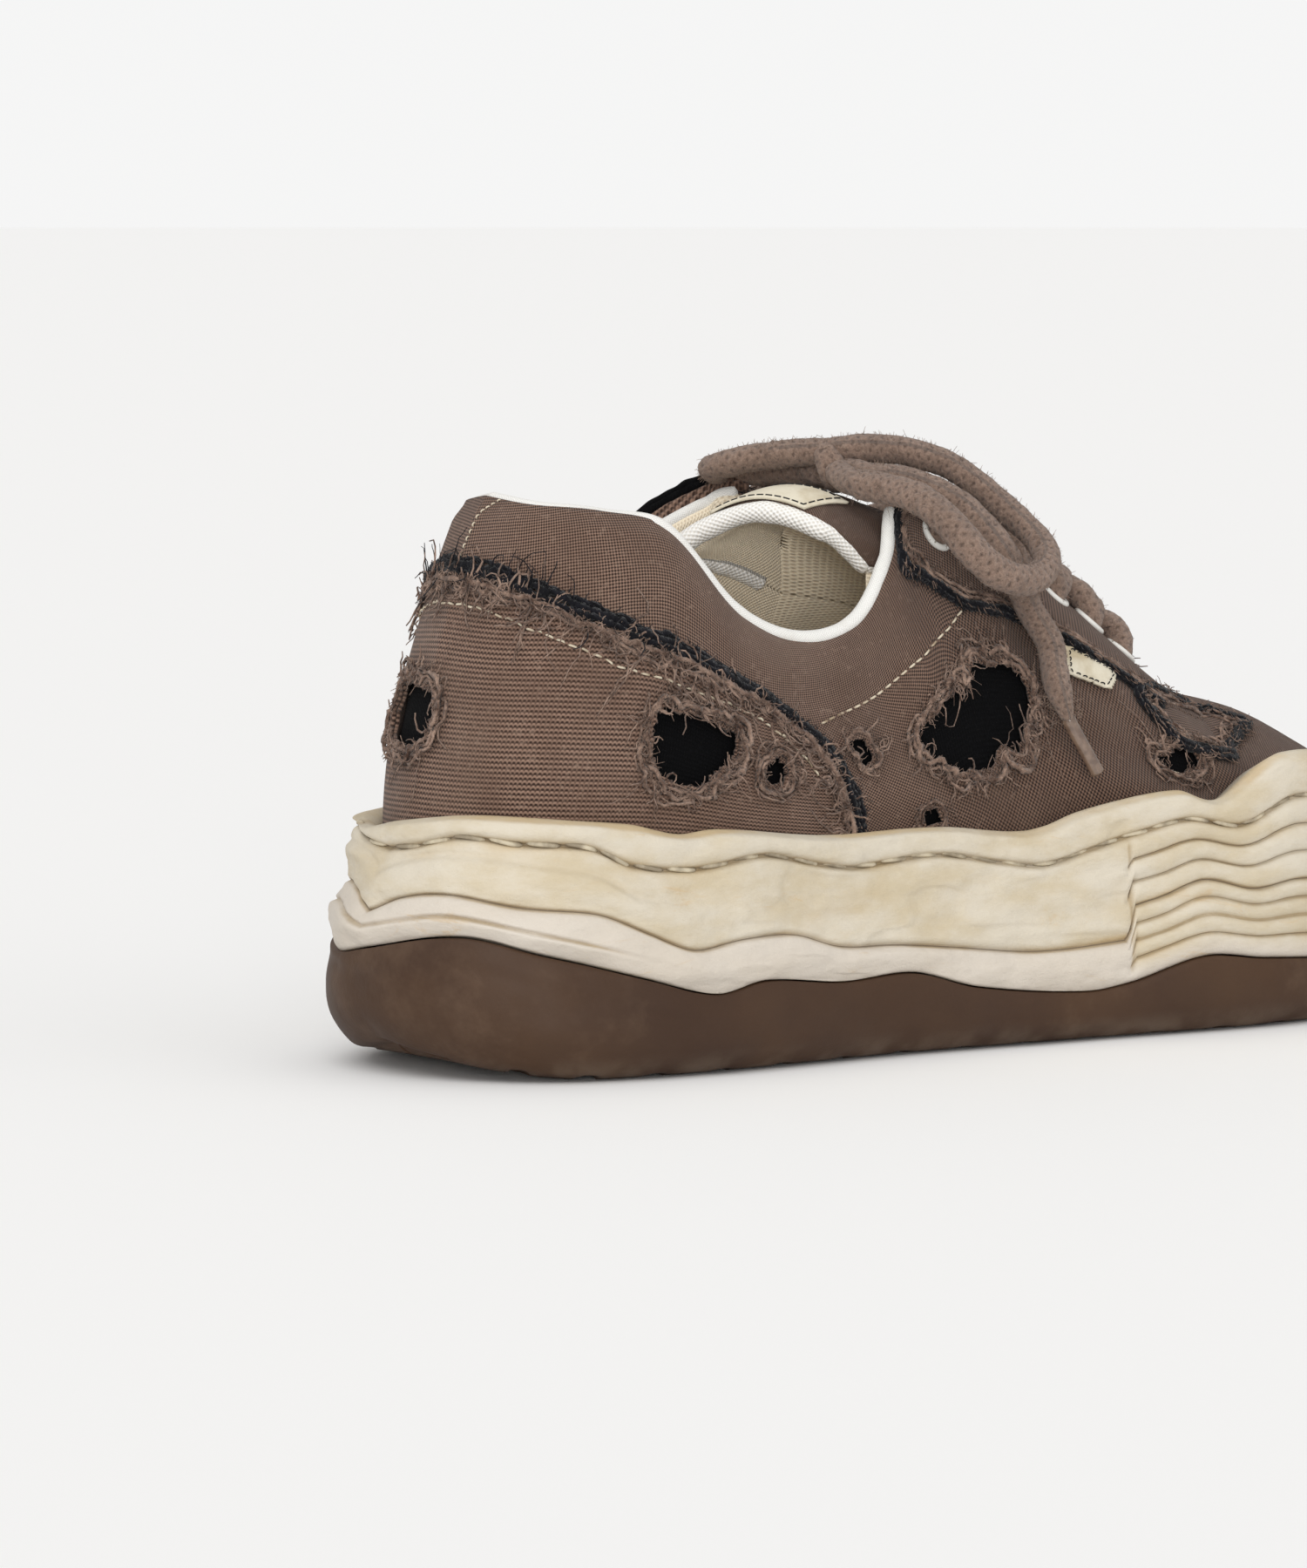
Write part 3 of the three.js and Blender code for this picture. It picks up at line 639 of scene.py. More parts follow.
def between(t, stops):
    """Rolls between creases at the given shares of a zone, and how near the closest crease is."""
    swell, near = np.zeros_like(t), np.zeros_like(t)
    for a, b in zip(stops[:-1], stops[1:]):
        here = (t >= a) & (t <= b)
        swell = np.where(here, roll((t - a) / (b - a)), swell)
    for a in stops[1:-1]:
        near = np.maximum(near, crease(t - a, 0.022))
    return swell, near


def midsole_wall():
    low = np.linspace(0, 1, MIDSOLE_LOW, endpoint=False)[:, None]
    middle = np.linspace(0, 1, MIDSOLE_MIDDLE, endpoint=False)[:, None]
    rim = np.linspace(0, 1, MIDSOLE_RIM)[:, None]
    heights = np.concatenate([
        lerp(outsole_top, waist, low), lerp(waist, stitched, middle), lerp(stitched, foxing_top, rim),
    ])
    side = np.broadcast_to(sole_side, heights.shape)
    part = np.broadcast_to(sole_share, heights.shape)
    section = [
        [flare[1], outsole_top], [flare[1] + 0.3, outsole_top + 5],
        [flare[0] + 1.8, foxing_top - 9], [flare[0] + 1.0, foxing_top],
    ]
    stops_out, stops_z = np.moveaxis(np.asarray(section, float), 1, 0)
    columns = zip(heights.T, stops_z.T, stops_out.T)
    out = np.stack([np.interp(z, known_z, known_out) for z, known_z, known_out in columns], 1)
    heel = smooth(0.27, 0.17, part)
    toe = np.broadcast_to(ribbed, heights.shape)
    panel = (1 - heel) * (1 - toe)

    t_low = np.broadcast_to(low, (MIDSOLE_LOW, len(sole_side)))
    t_mid = np.broadcast_to(middle, (MIDSOLE_MIDDLE, len(sole_side)))
    t_rim = np.broadcast_to(rim, (MIDSOLE_RIM, len(sole_side)))
    ribs_low, near_low = between(t_low, [0, 0.3, 0.54, 0.77, 1.0])
    ribs_mid, near_mid = between(t_mid, [0, 0.34, 0.67, 1.0])
    in_low = slice(0, MIDSOLE_LOW)
    in_middle = slice(MIDSOLE_LOW, MIDSOLE_LOW + MIDSOLE_MIDDLE)
    in_rim = slice(MIDSOLE_LOW + MIDSOLE_MIDDLE, None)

    swell = np.zeros_like(heights)
    swell[in_low] = toe[in_low] * 1.25 * ribs_low + (1 - toe[in_low]) * 1.5 * roll(t_low)
    swell[in_middle] = toe[in_middle] * 1.35 * ribs_mid + heel[in_middle] * 1.3 * roll(t_mid, 0.36)
    swell[in_middle] += panel[in_middle] * 0.9 * smooth(0, 0.1, t_mid) * smooth(1, 0.93, t_mid)
    swell[in_rim] = 1.7 * roll(t_rim, 0.5) - 1.5 * smooth(0.8, 1.0, t_rim)

    lip = heights - along(HEEL_LIP, part)[..., 0]
    fold = heights - along(HEEL_FOLD, part)[..., 0]
    swell += heel * (0.9 * smooth(-1.4, 0.6, -lip) * smooth(-9, -1, lip) - 0.35 * crease(lip - 0.8, 0.9))
    fold_reach = smooth(0.19, 0.13, part)
    swell += fold_reach * (0.9 * smooth(0.5, -0.4, fold) * smooth(-6, -0.5, fold) - 0.5 * crease(fold, 0.5))

    near = np.zeros_like(heights)
    near[in_low] = toe[in_low] * near_low
    near[in_middle] = toe[in_middle] * near_mid
    to_waist = heights - waist
    to_stitch = heights - stitched
    near = np.maximum(near, crease(to_waist, 0.5))
    near = np.maximum(near, fold_reach * crease(fold, 0.45) * 0.8)
    groove = crease(to_stitch - 0.1, 0.75)
    side_length = 340
    wavering = 1.2 * rough(heights[..., None] * (0, 0, 1), 4, 2)
    seam = crease((part - RIBS_FROM) * side_length + wavering, 0.7)
    seam = seam * smooth(outsole_top + 1, outsole_top + 3, heights)
    seam = seam * smooth(stitched, stitched - 2.5, heights)
    deep = 0.75 * near + 1.35 * groove + 0.7 * seam

    base = beside(side, out, heights)
    long = base * (0.42, 0.42, 1.0)
    lumps = 0.8 * rough(long, 7.5, 1) + 0.42 * rough(long, 3.2, 2)
    smears = panel * 0.38 * (smooth(-0.05, 0.12, rough(base * (0.35, 0.35, 1), 4.5, 5)) - 0.5)
    fine = 0.16 * rough(base, 1.6, 6)
    relief = swell - deep + lumps * (1 - 0.45 * toe) + smears + fine
    foot = smooth(0, 0.05, np.concatenate([t_low, 1 + 0 * t_mid, 1 + 0 * t_rim]))
    out = out + relief * (0.35 + 0.65 * foot)
    place = beside(side, out, heights + 0.18 * rough(long, 6, 7) * foot)
    hollow = np.clip(near + 0.9 * groove + 0.7 * seam, 0, 1)
    low_relief = np.clip(0.5 - 0.42 * (swell + lumps - 0.6), 0, 1)
    white = np.concatenate([1 + 0 * t_low, 0 * t_mid, 0 * t_rim]) * (1 - toe)
    white = np.maximum(white, smooth(outsole_top + 6, outsole_top, heights))
    return place, hollow, low_relief, white


def down_to_feather():
    """The cup's inner wall: over the rim and down behind the upper."""
    rows = []
    top_rise = np.interp(foxing_top, [30, 60], [0.0, 0.2])
    for down in np.linspace(0, 1, 10):
        z = lerp(foxing_top, feather(sole_side)[:, 2], down)
        rise = top_rise * (1 - down)
        inner = skin(sole_side, rise, 0.4)
        edge = beside(sole_side, flare[0] - 0.2, z)
        tuck = smooth(0, 0.1, down)
        made = lerp(edge, inner, np.full(len(z), tuck)[:, None])
        made[:, 2] = z - 0.3 * (down > 0)
        rows.append(made)
    return np.array(rows)


def foam():
    made = Finish("midsole_foam", srgb(233, 226, 208), 0.62, Specular_IOR_Level=0.35)
    hollow, low = made.attribute("hollow"), made.attribute("low")
    white = made.attribute("white")
    wide = made.stretched(made.place(), 0.45, 0.45, 1.0)
    cloud = made.noise(11, 5, wide, 0.62)
    patch = made.noise(26, 4, wide, 0.6, 0.6)
    speck = made.noise(1.4, 4, roughness=0.7)
    body = made.mix(cloud.fade(0.35, 0.7), srgb(207, 198, 181), srgb(195, 181, 154))
    ochre = low.fade(0.25, 0.85) * patch.fade(0.4, 0.62) * (1 - white * 0.7)
    body = made.mix(ochre * 0.7, body, srgb(190, 164, 120))
    body = made.mix(white * 0.8, body, srgb(205, 196, 185))
    smear = made.noise(7, 6, made.stretched(made.place(), 0.3, 0.3, 1.0), 0.75, 1.2)
    body = made.mix(smear.fade(0.6, 0.7) * patch.fade(0.35, 0.55) * 0.5, body, srgb(196, 168, 126))
    body = made.mix(speck.fade(0.66, 0.78) * 0.35, body, srgb(186, 160, 124))
    body = made.mix(hollow.fade(0.15, 0.75) * (0.2 + 0.6 * cloud.fade(0.35, 0.6)), body, srgb(168, 148, 116))
    body = made.mix(hollow.fade(0.72, 1.0) * 0.8, body, srgb(112, 96, 78))
    made.set("Base Color", body)
    made.set("Roughness", cloud.fade(0.2, 0.8) * 0.18 + 0.5)
    made.bump(made.noise(3.0, 5, wide, 0.65) * 1.0 + speck * 0.35, 0.45)
    return made


midsole_finish = foam()
face, hollow, low_relief, white = midsole_wall()
inner_wall = down_to_feather()
cup_wall = np.concatenate([face, inner_wall[1:]])
midsole_points, midsole_faces = merged(
    (cup_wall, grid_faces(*cup_wall.shape[:2], ring=True)),
    strip_piece(across(inner_wall[-1], 8), flip=True),
    strip_piece(across(face[0], 8)),
)


def on_face(values):
    """Values over the outer face, and 0 over the rest of the cup."""
    made = np.zeros(len(midsole_points))
    made[: values.size] = values.ravel()
    return made


marks = {"hollow": on_face(hollow), "low": on_face(low_relief), "white": on_face(white)}
midsole = piece(
    "midsole_body", midsole_points, midsole_faces, midsole_finish, marks=marks
)
outward_faces(midsole)
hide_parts("midsole")
# ---------------------------------------------------------------- the midsole's stitching
# Waxed cord lies in the groove under the rim, in long stitches that dip into the foam.
STITCH_LONG = 8.5
STITCH_RADIUS = 0.62


def tubes(paths, radii, sides=3, twist=0.0):
    """Closed tubes round many paths at once: paths (count, steps, 3), radii (count, steps)."""
    paths, radii = np.asarray(paths, float), np.asarray(radii, float)
    count, steps = paths.shape[:2]
    run = unit(np.gradient(paths, axis=1))
    first = np.cross(run[:, 0], np.array([0.31, 0.52, 0.79]))
    normal = np.empty_like(paths)
    normal[:, 0] = unit(first)
    for k in range(1, steps):
        last = normal[:, k - 1]
        normal[:, k] = unit(last - run[:, k] * np.sum(last * run[:, k], -1, keepdims=True))
    other = np.cross(run, normal)
    angle = np.arange(sides) * 2 * np.pi / sides + twist * np.arange(steps)[:, None]
    cos, sin = np.cos(angle)[None, ..., None], np.sin(angle)[None, ..., None]
    ring = normal[:, :, None] * cos + other[:, :, None] * sin
    points = paths[:, :, None] + ring * radii[:, :, None, None]
    body = grid_faces(steps, sides, ring=True)
    caps = [list(range(sides))[::-1], [(steps - 1) * sides + i for i in range(sides)]]
    shift = (np.arange(count) * steps * sides)[:, None, None]
    faces = (body[None] + shift).reshape(-1, 4).tolist()
    for cap in caps:
        faces += (np.array(cap)[None] + shift[:, :, 0]).tolist()
    return points.reshape(-1, 3), faces


def waxed():
    made = Finish("waxed_thread", srgb(196, 184, 160), 0.7)
    grime = made.noise(5, 3).fade(0.35, 0.65)
    made.set("Base Color", made.mix(grime, srgb(207, 196, 172), srgb(150, 138, 118)))
    made.bump(made.noise(0.5, 2), 0.1)
    return made


def groove_stitches():
    paths = []
    for sign in (-1, 1):
        parts = np.linspace(0.0, 0.985, 2400)
        z = along(STITCHED, parts)[:, 0] + 0.2
        out = along(FLARE, parts)[:, 0] + 1.25
        track = beside(sign * parts, out, z)
        length = distances(track)
        facing = outward(sign * parts)
        for start in np.arange(2.0, length[-1] - STITCH_LONG, STITCH_LONG):
            t = np.linspace(0, 1, 9)
            at = start + t * (STITCH_LONG - 0.9)
            lift = 0.9 * np.sin(np.pi * t) ** 0.5 - 0.9
            where = places_at(track, length, at) + places_at(facing, length, at) * lift[:, None]
            where[:, 2] += 0.35 - 0.7 * t
            paths.append(where)
    paths = np.array(paths)
    radii = np.full(paths.shape[:2], STITCH_RADIUS)
    radii[:, [0, -1]] *= 0.5
    return tubes(paths, radii, 6)


thread_finish = waxed()
points, faces = groove_stitches()
piece("midsole_stitching", points, faces, thread_finish)

# ---------------------------------------------------------------- the canvas
# The upper is cut from coarse brown canvas over a black backing, worn through in torn holes.  Its
# patterns are drawn on the flat cloth: across runs along the sole, up runs from it, both in mm.
ALONG, UP = 340, 90  # millimetres of cloth for a whole side, and from the feather edge to the top
WEAVE_PITCH = 1.12  # from one warp thread to the next but one


def on_cloth(rows):
    return np.asarray(rows, float) * (ALONG, UP)


def over(cloth, lift=0.0):
    """A point over the upper, from its place on the cloth."""
    cloth = np.asarray(cloth, float)
    side = (cloth[..., 0] / ALONG + 1) % 2 - 1
    return skin(side, cloth[..., 1] / UP, lift)


def flowing(rows, step=0.8, loop=False):
    """A smooth line through a few places on the cloth, in even steps."""
    rows = np.asarray(rows, float)
    if loop:
        rows = np.concatenate([rows[-1:], rows, rows[:2]])
    keyed = np.concatenate([np.arange(len(rows))[:, None], rows], 1)
    limits = (1, len(rows) - 2) if loop else (0, len(rows) - 1)
    fine = along(keyed, np.linspace(*limits, 60 * len(rows)))
    length = distances(fine)
    count = max(int(length[-1] / step), 3)
    return places_at(fine, length, np.linspace(0, length[-1], count, endpoint=not loop))


def flat(line):
    """A line on the cloth as points for rough()."""
    return np.concatenate([line, 0 * line[..., :1]], -1)


def ragged(rows, wobble=0.9, seed=0):
    """A torn outline: a smooth loop with a nervous edge."""
    line = flowing(rows, 0.6, loop=True)
    at = flat(line)
    shake = np.stack([rough(at, 2.6, seed), rough(at, 2.6, seed + 40)], 1)
    shake += 0.5 * np.stack([rough(at, 1.0, seed + 7), rough(at, 1.0, seed + 47)], 1)
    return line + wobble * shake


def inside(points, loop):
    """Which points lie inside a closed outline."""
    x, y = points[..., 0], points[..., 1]
    odd = np.zeros(x.shape, bool)
    for (ax, ay), (bx, by) in zip(loop, np.roll(loop, -1, axis=0)):
        crosses = (ay > y) != (by > y)
        with np.errstate(divide="ignore", invalid="ignore"):
            odd ^= crosses & (x < (bx - ax) * (y - ay) / (by - ay) + ax)
    return odd


def nearest(points, line):
    """The distance from each point to a line, and the line's nearest point."""
    gap = np.full(len(points), 1e9)
    at = np.zeros(len(points), int)
    for k in range(0, len(line), 64):
        apart = np.linalg.norm(points[:, None] - line[None, k : k + 64], axis=2)
        best = apart.argmin(1)
        closer = apart[np.arange(len(points)), best] < gap
        gap = np.where(closer, apart[np.arange(len(points)), best], gap)
        at = np.where(closer, best + k, at)
    return gap, at


COUNTER_EDGE = [
    (0.0, 0.77), (0.029, 0.77), (0.068, 0.745), (0.107, 0.70), (0.142, 0.655), (0.176, 0.625),
    (0.216, 0.63), (0.261, 0.67), (0.289, 0.665), (0.315, 0.61), (0.337, 0.54), (0.353, 0.46),
    (0.365, 0.36), (0.372, 0.25), (0.374, 0.1),
]
COLLAR_SEAM = [
    (0.525, 0.68), (0.498, 0.63), (0.472, 0.66), (0.441, 0.68), (0.413, 0.68), (0.372, 0.66),
    (0.339, 0.61),
]
EYESTAY_EDGE = [
    (0.503, 1.0), (0.483, 0.91), (0.494, 0.80), (0.510, 0.74), (0.530, 0.70), (0.561, 0.70),
    (0.583, 0.69), (0.620, 0.655), (0.656, 0.605), (0.685, 0.565),
]
TOE_PATCH = [
    (0.666, 0.58), (0.716, 0.66), (0.772, 0.72), (0.791, 0.68), (0.803, 0.66), (0.767, 0.57),
    (0.727, 0.47), (0.69, 0.45), (0.67, 0.5),
]
HOLES_OUTER = {
    "heel": [
        (0.045, 0.50), (0.0, 0.49), (-0.011, 0.44), (-0.007, 0.38), (0.009, 0.35), (0.055, 0.36),
        (0.066, 0.42),
    ],
    "big": [
        (-0.184, 0.46), (-0.194, 0.48), (-0.221, 0.50), (-0.258, 0.52), (-0.262, 0.44),
        (-0.250, 0.38), (-0.229, 0.30), (-0.200, 0.30), (-0.189, 0.33), (-0.185, 0.40),
    ],
    "small": [(-0.290, 0.43), (-0.301, 0.48), (-0.309, 0.45), (-0.305, 0.38), (-0.292, 0.36)],
    "slit": [(-0.374, 0.55), (-0.387, 0.555), (-0.399, 0.49), (-0.389, 0.46), (-0.377, 0.51)],
    "large": [
        (-0.451, 0.49), (-0.477, 0.52), (-0.500, 0.50), (-0.509, 0.54), (-0.524, 0.55),
        (-0.549, 0.54), (-0.556, 0.50), (-0.545, 0.42), (-0.529, 0.35), (-0.515, 0.36),
        (-0.504, 0.32), (-0.479, 0.33), (-0.459, 0.40), (-0.446, 0.46),
    ],
    "tiny": [(-0.440, 0.26), (-0.450, 0.26), (-0.450, 0.22), (-0.440, 0.22)],
    "toe": [
        (-0.654, 0.37), (-0.675, 0.42), (-0.696, 0.44), (-0.691, 0.39), (-0.677, 0.35),
        (-0.662, 0.35),
    ],
}
HOLES_INNER = {
    "arch": [(0.21, 0.47), (0.24, 0.52), (0.272, 0.49), (0.264, 0.40), (0.236, 0.33), (0.212, 0.37)],
    "flex": [(0.47, 0.50), (0.51, 0.53), (0.548, 0.5), (0.54, 0.41), (0.51, 0.34), (0.478, 0.38)],
    "nick": [(0.39, 0.45), (0.40, 0.48), (0.412, 0.43), (0.40, 0.38)],
    "side": [(0.655, 0.40), (0.675, 0.43), (0.692, 0.41), (0.68, 0.35), (0.662, 0.35)],
}
ON_COUNTER = ("heel", "big", "small", "arch")
HOLES = {**HOLES_OUTER, **HOLES_INNER}
holes = {name: ragged(on_cloth(HOLES[name]), 0.9, seed) for seed, name in enumerate(HOLES)}


def both_sides(rows):
    """A line over both sides of the shoe, outer first, through the heel."""
    rows = np.asarray(rows, float)
    return np.concatenate([rows[::-1] * (-1, 1), rows[1:] if rows[0, 0] == 0 else rows])


counter_top = flowing(on_cloth(both_sides(COUNTER_EDGE)), 0.8)
counter_top[:, 1] += 0.7 * rough(flat(counter_top), 3.0, 61)

# Soft folds of worn cloth: from, to, depth (minus is a trough) and width, in mm
FOLDS = [
    ((-0.60, 0.40), (-0.72, 0.30), -1.5, 7), ((-0.58, 0.30), (-0.70, 0.20), 0.9, 6),
    ((-0.575, 0.62), (-0.64, 0.46), -0.9, 5), ((-0.42, 0.62), (-0.46, 0.38), -0.8, 6),
    ((-0.34, 0.30), (-0.43, 0.22), -0.8, 6), ((-0.28, 0.60), (-0.36, 0.78), -0.7, 7),
    ((-0.10, 0.60), (-0.17, 0.52), 0.5, 8), ((-0.02, 0.30), (-0.12, 0.22), -0.6, 8),
    ((-0.74, 0.55), (-0.86, 0.60), -1.0, 6), ((-0.72, 0.40), (-0.84, 0.35), 0.8, 7),
    ((0.60, 0.40), (0.72, 0.30), -1.4, 7), ((0.575, 0.6), (0.65, 0.46), -0.9, 5),
    ((0.42, 0.62), (0.46, 0.38), -0.8, 6), ((0.28, 0.60), (0.36, 0.78), -0.7, 7),
    ((0.10, 0.45), (0.17, 0.36), -0.6, 8), ((0.74, 0.55), (0.86, 0.60), -1.0, 6),
]


def folds(cloth):
    """How far the worn cloth stands out or sinks at a place."""
    total = np.zeros(cloth.shape[:-1])
    for start, end, depth, width in FOLDS:
        a, b = on_cloth(start), on_cloth(end)
        run = b - a
        t = np.clip(((cloth - a) @ run) / (run @ run), 0, 1)
        apart = np.linalg.norm(cloth - a - t[..., None] * run, axis=-1)
        total += depth * np.exp(-((apart / width) ** 2))
    total += 0.45 * rough(flat(cloth), 24, 71) + 0.16 * rough(flat(cloth), 8, 72)
    part, rise = np.abs(cloth[..., 0]) / ALONG, cloth[..., 1] / UP
    collar = smooth(0.7, 0.84, rise) * smooth(1.0, 0.93, rise) * smooth(0.52, 0.45, part)
    return total + 1.3 * collar


def canvas(name, ribbed=0.0):
    """Coarse plain weave; ribbed makes the threads along the sole stand out."""
    made = Finish(
        name, srgb(122, 99, 86), 0.92, Sheen_Weight=0.12, Sheen_Roughness=0.6, Specular_IOR_Level=0.12
    )
    u, v = made.uv("cloth")
    drift = made.noise(7, 2) * 0.35
    turns = 2 * math.pi / WEAVE_PITCH
    warp, weft = ((u + drift) * turns).math("SINE"), ((v + drift) * turns).math("SINE")
    ribs = (v * turns).math("COSINE")
    height = warp * weft * (0.5 - 0.28 * ribbed) + ribs * (0.2 * ribbed) + 0.5
    slub = made.noise(1.3, 3)
    faded = made.noise(14, 4, roughness=0.6)
    worn = made.noise(34, 5, roughness=0.65)
    base = made.mix(height.fade(0.2, 0.85), srgb(44, 29, 22), srgb(145, 117, 101))
    base = made.mix(slub.fade(0.55, 0.8) * 0.4, base, srgb(160, 136, 120))
    base = made.mix(faded.fade(0.35, 0.7) * 0.35, base, srgb(78, 58, 47))
    base = made.mix(worn.fade(0.5, 0.7) * 0.12, base, srgb(150, 130, 114))
    front = made.node("SeparateXYZ", {}, made.place(), output=0) * 1000
    soil_and_shade = made.mix(1.0, base, (0.66, 0.62, 0.59), "MULTIPLY")  # the front half is darker: dirt and painted shade
    made.set("Base Color", made.mix(front.fade(-60, 10) * 0.9, base, soil_and_shade))
    made.bump(height * 0.75 + slub * 0.35, 0.34)
    return made


def turned_by(angle):
    """A panel cut at one angle all over."""
    return lambda centre: np.full(len(centre), float(angle))


no_turn = turned_by(0)


def cloth_sheet(name, grid, span, lift, finish, cut=(), keep=None, turn=no_turn, thick=0.8):
    """Cloth over the last, from rise to rise; cut are torn holes, keep is a smaller panel's outline."""
    columns, rows = grid
    whole = keep is None
    if whole:
        along_sole = np.linspace(-ALONG, ALONG, columns, endpoint=False)
    else:
        along_sole = np.linspace(keep[:, 0].min() - 2, keep[:, 0].max() + 2, columns)
    up_wall = np.linspace(*span, rows) * UP
    cloth = np.stack(np.meshgrid(along_sole, up_wall), -1).reshape(-1, 2)
    spacing = max(along_sole[1] - along_sole[0], up_wall[1] - up_wall[0])
    faces = grid_faces(rows, columns, ring=whole)
    loops = list(cut) + ([] if whole else [keep])
    edge = np.full(len(cloth), 1e9)
    for loop in loops:
        box = (cloth > loop.min(0) - 8).all(1) & (cloth < loop.max(0) + 8).all(1)
        near = np.flatnonzero(box)
        gap, at = nearest(cloth[near], loop)
        snap = gap < 0.52 * spacing
        cloth[near[snap]] = loop[at[snap]]
        if loop is not keep:
            edge[near] = np.minimum(edge[near], np.where(snap, 0, gap))
    wrapped = cloth[faces].copy()
    if whole:
        seam = np.ptp(wrapped[..., 0], axis=1) > ALONG
        wrapped[seam, :, 0] += 2 * ALONG * (wrapped[seam, :, 0] < 0)
    centre = wrapped.mean(1)
    alive = np.ones(len(faces), bool)
    for loop in cut:
        alive &= ~inside(centre, loop)
    if not whole:
        alive &= inside(centre, keep)
    faces, wrapped, centre = faces[alive], wrapped[alive], centre[alive]
    used = np.unique(faces)
    renumber = np.zeros(len(cloth), int)
    renumber[used] = np.arange(len(used))
    cloth, edge = cloth[used], edge[used]
    curl = np.exp(-((edge / 2.4) ** 2)) * (0.7 + 0.8 * rough(flat(cloth), 3.2, 81))
    points = over(cloth, lift + folds(cloth) + curl)
    made = piece(name, points, renumber[faces][:, ::-1], finish)
    layer = made.data.uv_layers.new(name="cloth")
    angle = turn(centre)
    cos, sin = np.cos(angle)[:, None], np.sin(angle)[:, None]
    u, v = np.moveaxis(wrapped[:, ::-1], -1, 0)
    turned = np.stack([u * cos - v * sin, u * sin + v * cos], -1)
    layer.data.foreach_set("uv", (turned / 1000).ravel())
    apply(made, "SOLIDIFY", thickness=thick / 1000, offset=-1.0, use_even_offset=False)
    return made


def grain(centre):
    """Each panel is cut at its own angle: the collar on the bias, the quarter nearly so."""
    part = np.abs(centre[:, 0]) / ALONG
    rise = centre[:, 1] / UP
    seam = np.interp(part, *np.array(sorted(COLLAR_SEAM)).T)
    collar = (rise > seam) & (part < 0.52)
    return np.sign(centre[:, 0]) * np.where(collar, 0.62, -0.2)


base_finish = canvas("canvas")
counter_finish = canvas("canvas_counter", ribbed=1.0)
base_cut = [holes[name] for name in holes if name not in ON_COUNTER]
base_cut += [ragged(on_cloth(HOLES[name]), 1.2, 90) for name in ON_COUNTER if name != "heel"]
base_cut.append(ragged(on_cloth(HOLES["heel"]), 1.2, 91))
base_sheet = cloth_sheet("canvas_upper", (450, 60), (0.02, 1.0), 0.0, base_finish, base_cut, turn=grain)
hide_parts("upper")
counter_line = np.concatenate([counter_top, [[counter_top[-1, 0], 2.0], [counter_top[0, 0], 2.0]]])
counter_outline = flowing(counter_line, 0.7)
counter_cut = [holes[name] for name in ON_COUNTER]
cloth_sheet(
    "canvas_counter", (250, 66), (0.02, 0.8), 0.95, counter_finish, counter_cut, keep=counter_outline
)

# Black backing cloth shows through every tear.
def black_cloth():
    made = Finish("black_backing", srgb(4, 4, 5), 0.95, Specular_IOR_Level=0.15)
    u, v = made.uv("cloth")
    wales, courses = (u * (2 * math.pi / 0.8)).math("SINE"), (v * (2 * math.pi / 1.1)).math("SINE")
    knit = (wales + courses) * 0.25 + 0.5
    lint = made.noise(0.9, 4, roughness=0.7)
    base = made.mix(lint.fade(0.5, 0.85), srgb(1, 1, 2), srgb(13, 13, 16))
    made.set("Base Color", made.mix(knit.fade(0.6, 0.98) * 0.4, base, srgb(11, 11, 14)))
    made.bump(knit * 0.6 + lint * 0.6, 0.35)
    return made


def backing_points():
    along_sole = np.linspace(-ALONG, ALONG, 210, endpoint=False)
    cloth = np.stack(np.meshgrid(along_sole, np.linspace(0.02, 0.96, 27) * UP), -1)
    wrinkle = 0.3 * rough(flat(cloth), 6, 83) + 0.25 * rough(flat(cloth), 2.5, 84)
    fold = folds(cloth)
    return cloth, over(cloth, np.minimum(0.6 * fold - 1.15 + 0.6 * wrinkle, fold - 0.8))


black_finish = black_cloth()
cloth, points = backing_points()
faces = grid_faces(*cloth.shape[:2], ring=True, flip=True)
backing = piece("black_backing", points, faces, black_finish, uv=cloth)
apply(backing, "SOLIDIFY", thickness=0.0003, offset=-1.0)

# ---------------------------------------------------------------- the collar's lining and piping
# White spacer mesh over foam lines the ankle and the whole inside; a white cotton cord is piped
# round the collar's edge.
def spacer_mesh(name, dim, bright):
    made = Finish(name, bright, 0.85, Sheen_Weight=0.2)
    u, v = made.uv("cloth")
    cells = (u * (2 * math.pi / 1.5)).math("SINE") * (v * (2 * math.pi / 1.3)).math("SINE")
    cells = cells * 0.5 + 0.5
    soil = made.noise(22, 5, roughness=0.6)
    base = made.mix(cells.fade(0.0, 0.6), dim, bright)
    made.set("Base Color", made.mix(soil.fade(0.45, 0.75) * 0.35, base, srgb(190, 178, 160)))
    made.bump(cells, 0.32)
    return made


# How deep the pad lies at each rise, from over the collar's edge down its inner face.
PAD = [
    (1.0, -1.3), (1.012, -2.2), (1.012, -3.2), (1.0, -4.4), (0.975, -5.4), (0.94, -5.9), (0.89, -6.1),
    (0.83, -6.0), (0.76, -5.4), (0.68, -4.2),
]
THIN_LINING = 2.4


def lining_points():
    side = np.linspace(-1, 1, 420, endpoint=False)
    part = np.abs(side)
    ankle = smooth(0.53, 0.47, part)
    cloth, points = [], []
    for rise, depth in [*PAD, *[(low_rise, -3.2) for low_rise in np.linspace(0.6, 0.05, 16)]]:
        unpadded = -THIN_LINING if rise < 1 else depth * 0.6
        lift = np.where(part > THROAT_END, -THIN_LINING, lerp(unpadded, depth, ankle))
        held = np.where(part > 0.5, min(rise, 1.0), rise)
        cloth.append(np.stack([side * ALONG, np.full(len(side), rise * UP)], -1))
        points.append(skin(side, held, lift))
    return np.array(cloth), np.array(points)


